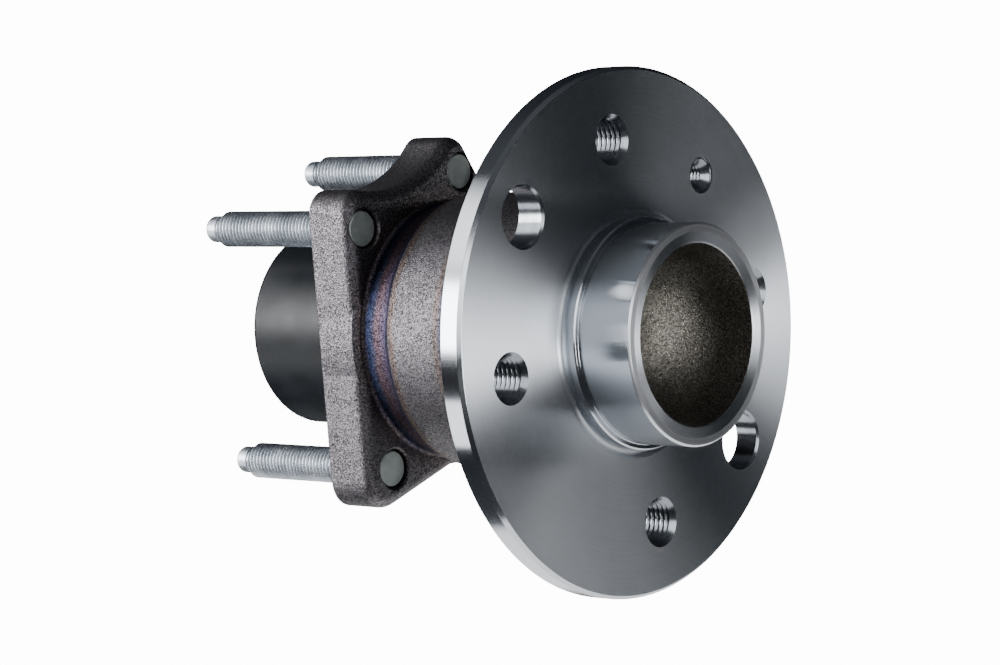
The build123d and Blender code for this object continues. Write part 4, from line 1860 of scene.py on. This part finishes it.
@dataclass(frozen=True)
class SpeedSensor:
    """The sensor's parts inside the cap, and the toothed ring that turns in front of them."""

    connector: SensorConnector
    tooth_count: int = 29
    sleeve_radius: float = 22.5
    sleeve_wall: float = 0.9
    sleeve_start_y: float = 58.6
    tooth_height: float = 0.9
    tooth_width: float = 2.5
    tooth_length: float = 9.0
    end_gap: float = 0.5
    air_gap: float = 0.5
    pole_height: float = 0.6
    magnet_length: float = 3.5
    magnet_bore: float = 20.0
    bobbin_length: float = 9.0
    bobbin_bore: float = 13.0
    bobbin_wall: float = 1.2
    bobbin_gap: float = 0.9
    winding_depth: float = 9.3
    wire_radius: float = 0.45

    @property
    def bobbin_end_y(self) -> float:
        """Axial place of the bobbin's end against the housing's plug."""
        return self.connector.inner_y - self.connector.plug_length

    @property
    def magnet_y(self) -> float:
        """Axial place of the magnet's front face."""
        return self.bobbin_end_y - self.bobbin_length - self.magnet_length

    def teeth(self, radius: float, half_depth: float, front_y: float, back_y: float) -> Solid:
        """Square teeth, or the slots for them, round a circle.

        Args:
            radius: Radius of their middles.
            half_depth: Half their radial size.
            front_y: Axial place of their front.
            back_y: Axial place of their back.

        Returns:
            The teeth as separate blocks in one mesh.
        """
        blocks = []
        for index in range(self.tooth_count):
            shape = block(
                (2 * half_depth, back_y - front_y, self.tooth_width), (radius, (front_y + back_y) / 2, 0)
            )
            turn = Matrix.Rotation(-math.tau * index / self.tooth_count, 3, "Y")
            bmesh.ops.rotate(shape, verts=shape.verts[:], cent=(0, 0, 0), matrix=turn)
            blocks.append(shape)
        return merged(blocks)

    def tone_ring(self) -> Solid:
        """The sleeve on the inner ring, with its teeth.

        Returns:
            The toothed ring's solid.
        """
        outer = self.sleeve_radius + self.sleeve_wall
        end_y = self.magnet_y - self.end_gap
        sleeve = tube(self.sleeve_radius, outer, self.sleeve_start_y, end_y)
        front_y = self.magnet_y - self.tooth_length
        return combine(sleeve, self.teeth(outer, self.tooth_height, front_y, end_y), Join.UNION)

    def pole_ring(self) -> Solid:
        """The slotted iron ring round the tone ring.

        Returns:
            The slotted ring's solid.
        """
        bore = self.sleeve_radius + self.sleeve_wall + self.tooth_height + self.air_gap
        front_y = self.magnet_y - self.tooth_length
        ring = tube(bore, self.connector.plug_radius, front_y, self.magnet_y)
        slots = self.teeth(bore, self.pole_height, front_y - 1, self.magnet_y + 1)
        return combine(ring, slots, Join.CUT)

    def bobbin(self) -> Solid:
        """The moulded spool that carries the coil.

        Returns:
            The spool's solid.
        """
        outer, start_y = self.connector.plug_radius - self.bobbin_gap, self.bobbin_end_y - self.bobbin_length
        wall, end_y = self.bobbin_wall, self.bobbin_end_y
        return turned([
            (self.bobbin_bore, start_y, 0.2), (outer, start_y, 0.3), (outer, start_y + wall, 0.3),
            (self.bobbin_bore + wall, start_y + wall, 0.2), (self.bobbin_bore + wall, end_y - wall, 0.2),
            (outer, end_y - wall, 0.3), (outer, end_y, 0.3), (self.bobbin_bore, end_y, 0.2),
        ], closed=True)

    def winding(self) -> Solid:
        """The coil, whose outer face shows its last layer of turns.

        Returns:
            The coil's solid.
        """
        inner = self.bobbin_bore + self.bobbin_wall
        outer = inner + self.winding_depth
        start_y = self.bobbin_end_y - self.bobbin_length + self.bobbin_wall
        end_y = self.bobbin_end_y - self.bobbin_wall
        turns = round((end_y - start_y) / (2 * self.wire_radius))
        step = (end_y - start_y) / turns
        ridges = [
            point for turn in range(turns)
            for point in arc((outer - step / 2, start_y + step * (turn + 0.5)), step / 2, -80.0, 80.0, 6)
        ]
        return turned([(inner, start_y, 0), *ridges, (inner, end_y, 0)], closed=True)

    def dress(self) -> list[bpy.types.Object]:
        """Builds each part of the sensor.

        Returns:
            The five pieces' objects.
        """
        end_y = self.magnet_y + self.magnet_length
        return [
            piece("toothed_tone_ring", self.tone_ring(), Body.HUB, SINTERED_STEEL,
                  ["tone_ring"]),
            piece("slotted_pole_ring", self.pole_ring(), Body.CARRIER, SINTERED_STEEL,
                  ["sensor_pole_ring"]),
            piece("ring_magnet",
                  tube(self.magnet_bore, self.connector.plug_radius, self.magnet_y, end_y, 0.3),
                  Body.CARRIER, FERRITE, ["sensor_magnet"]),
            piece("coil_bobbin", self.bobbin(), Body.CARRIER, BOBBIN_PLASTIC,
                  ["sensor_bobbin"]),
            piece("coil_winding", self.winding(), Body.CARRIER, COPPER_WIRE, ["sensor_winding"]),
        ]


# ---------------------------------------------------------------- finishes


# Medium-carbon steel, finish-turned and bare: cool grey satin whose highlights fan out round the axis.
TURNED_STEEL = TurnedSteel("finish_turned_carbon_steel")
# The same steel where the tool ran along the axis at a finer feed: sharper edges to its reflections.
FINE_TURNED = TurnedSteel(
    "fine_turned_carbon_steel", roughness=0.16, ring_mm=0.22, ring_depth_mm=0.0005, stretch=0.88
)
# Drilled and tapped walls, coloured darker as painted shade inside the holes, with the oil's shine along each
# crest.
PAINTED_SHADE_HOLE_STEEL = PlainMetal(
    "hole_steel_painted_shade", "8f9399", "6c7076", roughness=0.2, grain_mm=0.25, grain_depth_mm=0.002
)
# The pilot's end, faced with a worn tool: paler and more diffuse.
FACED_END = TurnedSteel("faced_pilot_end", colour="c6c8cc", dark="b4b7bc", roughness=0.34, stretch=0.5)
# Hardened and ground steel: near-mirror bands in the raceways and the seal land.
GROUND_STEEL = PlainMetal("ground_bearing_steel", "b9bcbf", "a5a8ac", roughness=0.16, grain_depth_mm=0.001)
# Shot-blasted forging, dark grey and sparkling, with the oxide colours of induction hardening and painted
# shade in the neck, darkest at its crease with the plate.
FORGED_STEEL = ForgedSteel("shot_blasted_forged_steel", oxide_and_painted_shade=True)
# The pilot's bowl as it left the die: coarse brownish scale whose flakes glint more than a blasted skin.
FORGED_BOWL = ForgedSteel(
    "as_forged_scale_bowl", light="827f78", dark="1b1a18", grain_mm=0.32, grain_depth_mm=0.1, roughness=0.36
)
# The flange's back cone, blasted but not machined.
FORGED_BACK = ForgedSteel("blasted_flange_back", light="7d7a7c", dark="2f2c2e")
# Thin zinc with clear passivation: pale bluish silver that dulls to grey.
ZINC_PLATE = PlainMetal("clear_zinc_plate", "c3c8cf", "9299a1", roughness=0.42, grain_mm=0.5)
# The studs' pressed ends: plated, then scuffed dull grey-green by the press.
SHEARED_END = PlainMetal(
    "pressed_stud_end", "b6bdbb", "959c9a", roughness=0.6, grain_mm=0.3, grain_depth_mm=0.01
)
# Deep-drawn mild steel, lightly oiled.
PRESSED_STEEL = PlainMetal("pressed_mild_steel", "a9abad", "85888b", roughness=0.28)
# Sintered iron: dark, porous and matt.
SINTERED_STEEL = PlainMetal(
    "sintered_iron", "77787a", "55565a", roughness=0.5, grain_mm=0.3, grain_depth_mm=0.02
)
# Chrome steel balls, lapped to a mirror.
BALL_STEEL = PlainMetal("lapped_chrome_steel", "cfd1d3", "c2c4c7", roughness=0.06, grain_depth_mm=0.0)
# Tinned brass blades: soft white metal.
TINNED_BRASS = PlainMetal("tinned_brass", "d3d2cc", "bcbbb5", roughness=0.25)
# Enamelled copper wire, wound tight: warm red-brown with a lacquer's shine.
COPPER_WIRE = PlainMetal("enamelled_copper_wire", "b4643a", "8a4526", roughness=0.3)
# Electrophoretic black paint on steel: satin, slightly blue, with a faint orange peel. Its IOR is below
# the 1.5 that is typical of paint, and was lowered to match how dark the coating looks.
BLACK_COATING = Polymer(
    "black_dip_paint", "101419", "0b0e12", roughness=0.4, ior=1.28, grain_mm=0.9, grain_depth_mm=0.004,
    dust=0.05,
)
# Glass-filled nylon, injection moulded in black.
NYLON_BLACK = Polymer("black_glass_filled_nylon", "1d1e20", "141517", roughness=0.45, ior=1.53)
# Glass-filled nylon in its natural colour for the cages.
CAGE_NYLON = Polymer("natural_glass_filled_nylon", "b9ad8f", "a3987c", roughness=0.42, ior=1.53)
# Thermoplastic polyester for the coil's spool.
BOBBIN_PLASTIC = Polymer("polyester_spool", "35322e", "26241f", roughness=0.4, ior=1.57)
# Nitrile rubber for the seal's lips and the O-ring: black with no gloss.
SEAL_RUBBER = Polymer("nitrile_rubber", "191919", "101010", roughness=0.62, ior=1.52, grain_depth_mm=0.01)
# Hard ferrite: charcoal ceramic, ground flat.
FERRITE = Polymer("hard_ferrite", "3a3a3d", "29292b", roughness=0.5, ior=2.2)


# ---------------------------------------------------------------- studio


@dataclass(frozen=True)
class Panel:
    """A soft light panel, aimed at the unit."""

    name: str
    place: tuple[float, float, float]
    size: tuple[float, float]
    radiance: float

    def build(self, target: Vector) -> None:
        """Makes the lamp and aims it.

        Args:
            target: The place that the panel faces.
        """
        lamp = bpy.data.lights.new(self.name, "AREA")
        lamp.shape = "RECTANGLE"
        lamp.size, lamp.size_y = self.size
        lamp.energy = self.radiance * math.pi * self.size[0] * self.size[1]
        item = bpy.data.objects.new(self.name, lamp)
        bpy.context.scene.collection.objects.link(item)
        item.location = self.place
        item.rotation_mode = "QUATERNION"
        item.rotation_quaternion = (target - item.location).to_track_quat("-Z", "Y")


@dataclass(frozen=True)
class Studio:
    """A white studio: a pale floor, a sky that steel can mirror, soft panels and the camera."""

    target: tuple[float, float, float] = (0.0, 0.05, 0.0)
    floor_z: float = -0.3
    floor_radius: float = 0.3
    backdrop_strength: float = 14.0
    daylight_strength: float = 1.0
    wall_strength: float = 0.34
    camera_place: tuple[float, float, float] = (-0.57106, -0.49982, 0.25986)
    camera_right: tuple[float, float, float] = (0.607587, -0.754074, -0.249418)
    camera_up: tuple[float, float, float] = (0.399946, 0.019164, 0.916339)
    camera_back: tuple[float, float, float] = (-0.686209, -0.656510, 0.313234)
    sensor_mm: float = 36.0
    lens_mm: float = 113.1
    panels: tuple[Panel, ...] = (
        Panel("left_window", (-0.62, 0.66, 0.36), (1.0, 0.34), 18.0),
        Panel("left_high", (-0.37, 0.65, 0.72), (0.9, 0.3), 4.0),
        Panel("left_low", (-0.68, 0.66, -0.20), (1.0, 0.26), 3.5),
        Panel("front_low", (-0.04, -1.02, -0.11), (0.8, 0.2), 18.0),
        Panel("front_left", (-0.5, -1.0, 0.5), (0.7, 0.7), 4.0),
        Panel("right_low", (0.98, -0.14, -0.38), (0.3, 0.3), 6.0),
    )

    def build(self) -> None:
        """Makes the world, the floor, the lights and the camera."""
        self.make_world()
        self.make_floor()
        for panel in self.panels:
            panel.build(Vector(self.target))
        self.make_camera()

    def make_world(self) -> None:
        """White to the camera and on matt surfaces; polished metal mirrors darker walls."""
        world = bpy.data.worlds.new("studio")
        world.use_nodes = True
        bpy.context.scene.world = world
        tree = world.node_tree
        shown = tree.nodes["Background"]
        coordinates = add_node(tree, "ShaderNodeTexCoord")
        parts = add_node(tree, "ShaderNodeSeparateXYZ", {0: coordinates.outputs["Generated"]})
        height = add_node(
            tree, "ShaderNodeMapRange", {0: parts.outputs["Z"], 1: -1.0, 2: 1.0, 3: 0.0, 4: 1.0}
        )
        walls = add_node(tree, "ShaderNodeValToRGB", {0: height.outputs[0]})
        set_ramp(walls, [
            (0.0, "c4c6ca"), (0.14, "85898f"), (0.3, "4d525a"), (0.46, "33373d"), (0.54, "2e3238"),
            (0.64, "3d4249"), (0.78, "5d626a"), (1.0, "c9ccd1"),
        ])
        mirrored = add_node(tree, "ShaderNodeBackground", {0: walls.outputs[0], 1: self.wall_strength})
        path = add_node(tree, "ShaderNodeLightPath")
        white = add_node(
            tree, "ShaderNodeMapRange",
            {0: path.outputs["Is Camera Ray"], 3: self.daylight_strength, 4: self.backdrop_strength},
        )
        shown.inputs["Color"].default_value = (1, 1, 1, 1)
        tree.links.new(white.outputs[0], shown.inputs["Strength"])
        mix = add_node(
            tree, "ShaderNodeMixShader",
            {0: path.outputs["Is Glossy Ray"], 1: shown.outputs[0], 2: mirrored.outputs[0]},
        )
        tree.links.new(mix.outputs[0], tree.nodes["World Output"].inputs["Surface"])

    def make_floor(self) -> None:
        """A plain pale round floor, well below the unit."""
        shape = bmesh.new()
        bmesh.ops.create_circle(shape, cap_ends=True, segments=128, radius=self.floor_radius)
        bmesh.ops.translate(shape, verts=shape.verts[:], vec=(0, 0, self.floor_z))
        mesh = bpy.data.meshes.new("floor")
        shape.to_mesh(mesh)
        shape.free()
        floor = bpy.data.objects.new("floor", mesh)
        bpy.context.scene.collection.objects.link(floor)
        paint = bpy.data.materials.new("matt_white_paint")
        paint.use_nodes = True
        shader = paint.node_tree.nodes["Principled BSDF"]
        shader.inputs["Base Color"].default_value = linear("f4f4f4")
        shader.inputs["Roughness"].default_value = 0.9
        mesh.materials.append(paint)

    def make_camera(self) -> None:
        """Places the camera and makes it the scene's own."""
        data = bpy.data.cameras.new("camera")
        data.sensor_width = self.sensor_mm
        data.lens = self.lens_mm
        data.clip_start, data.clip_end = 0.01, 20.0
        camera = bpy.data.objects.new("camera", data)
        bpy.context.scene.collection.objects.link(camera)
        axes = Matrix((self.camera_right, self.camera_up, self.camera_back)).transposed()
        camera.matrix_world = Matrix.Translation(self.camera_place) @ axes.to_4x4()
        bpy.context.scene.camera = camera


def main() -> None:
    """Builds each sub-assembly from the wheel side to the connector, then the studio."""
    logging.basicConfig(level=logging.INFO, format="%(message)s")
    rows = BallRows()
    plate_form = CarrierPlate()
    studs = CarrierStuds(plate_form)
    connector = SensorConnector(RearCap())
    assemblies = (
        WheelFlange(rows), CarrierRing(rows, plate_form, stud_places=studs.places()), studs,
        OutboardSeal(rows), InnerRing(rows), CagedRow(rows, inboard=False), CagedRow(rows, inboard=True),
        connector.cap, connector, SpeedSensor(connector),
    )
    for assembly in assemblies:
        assembly.dress()
    Studio().build()


if __name__ == "__main__":
    main()
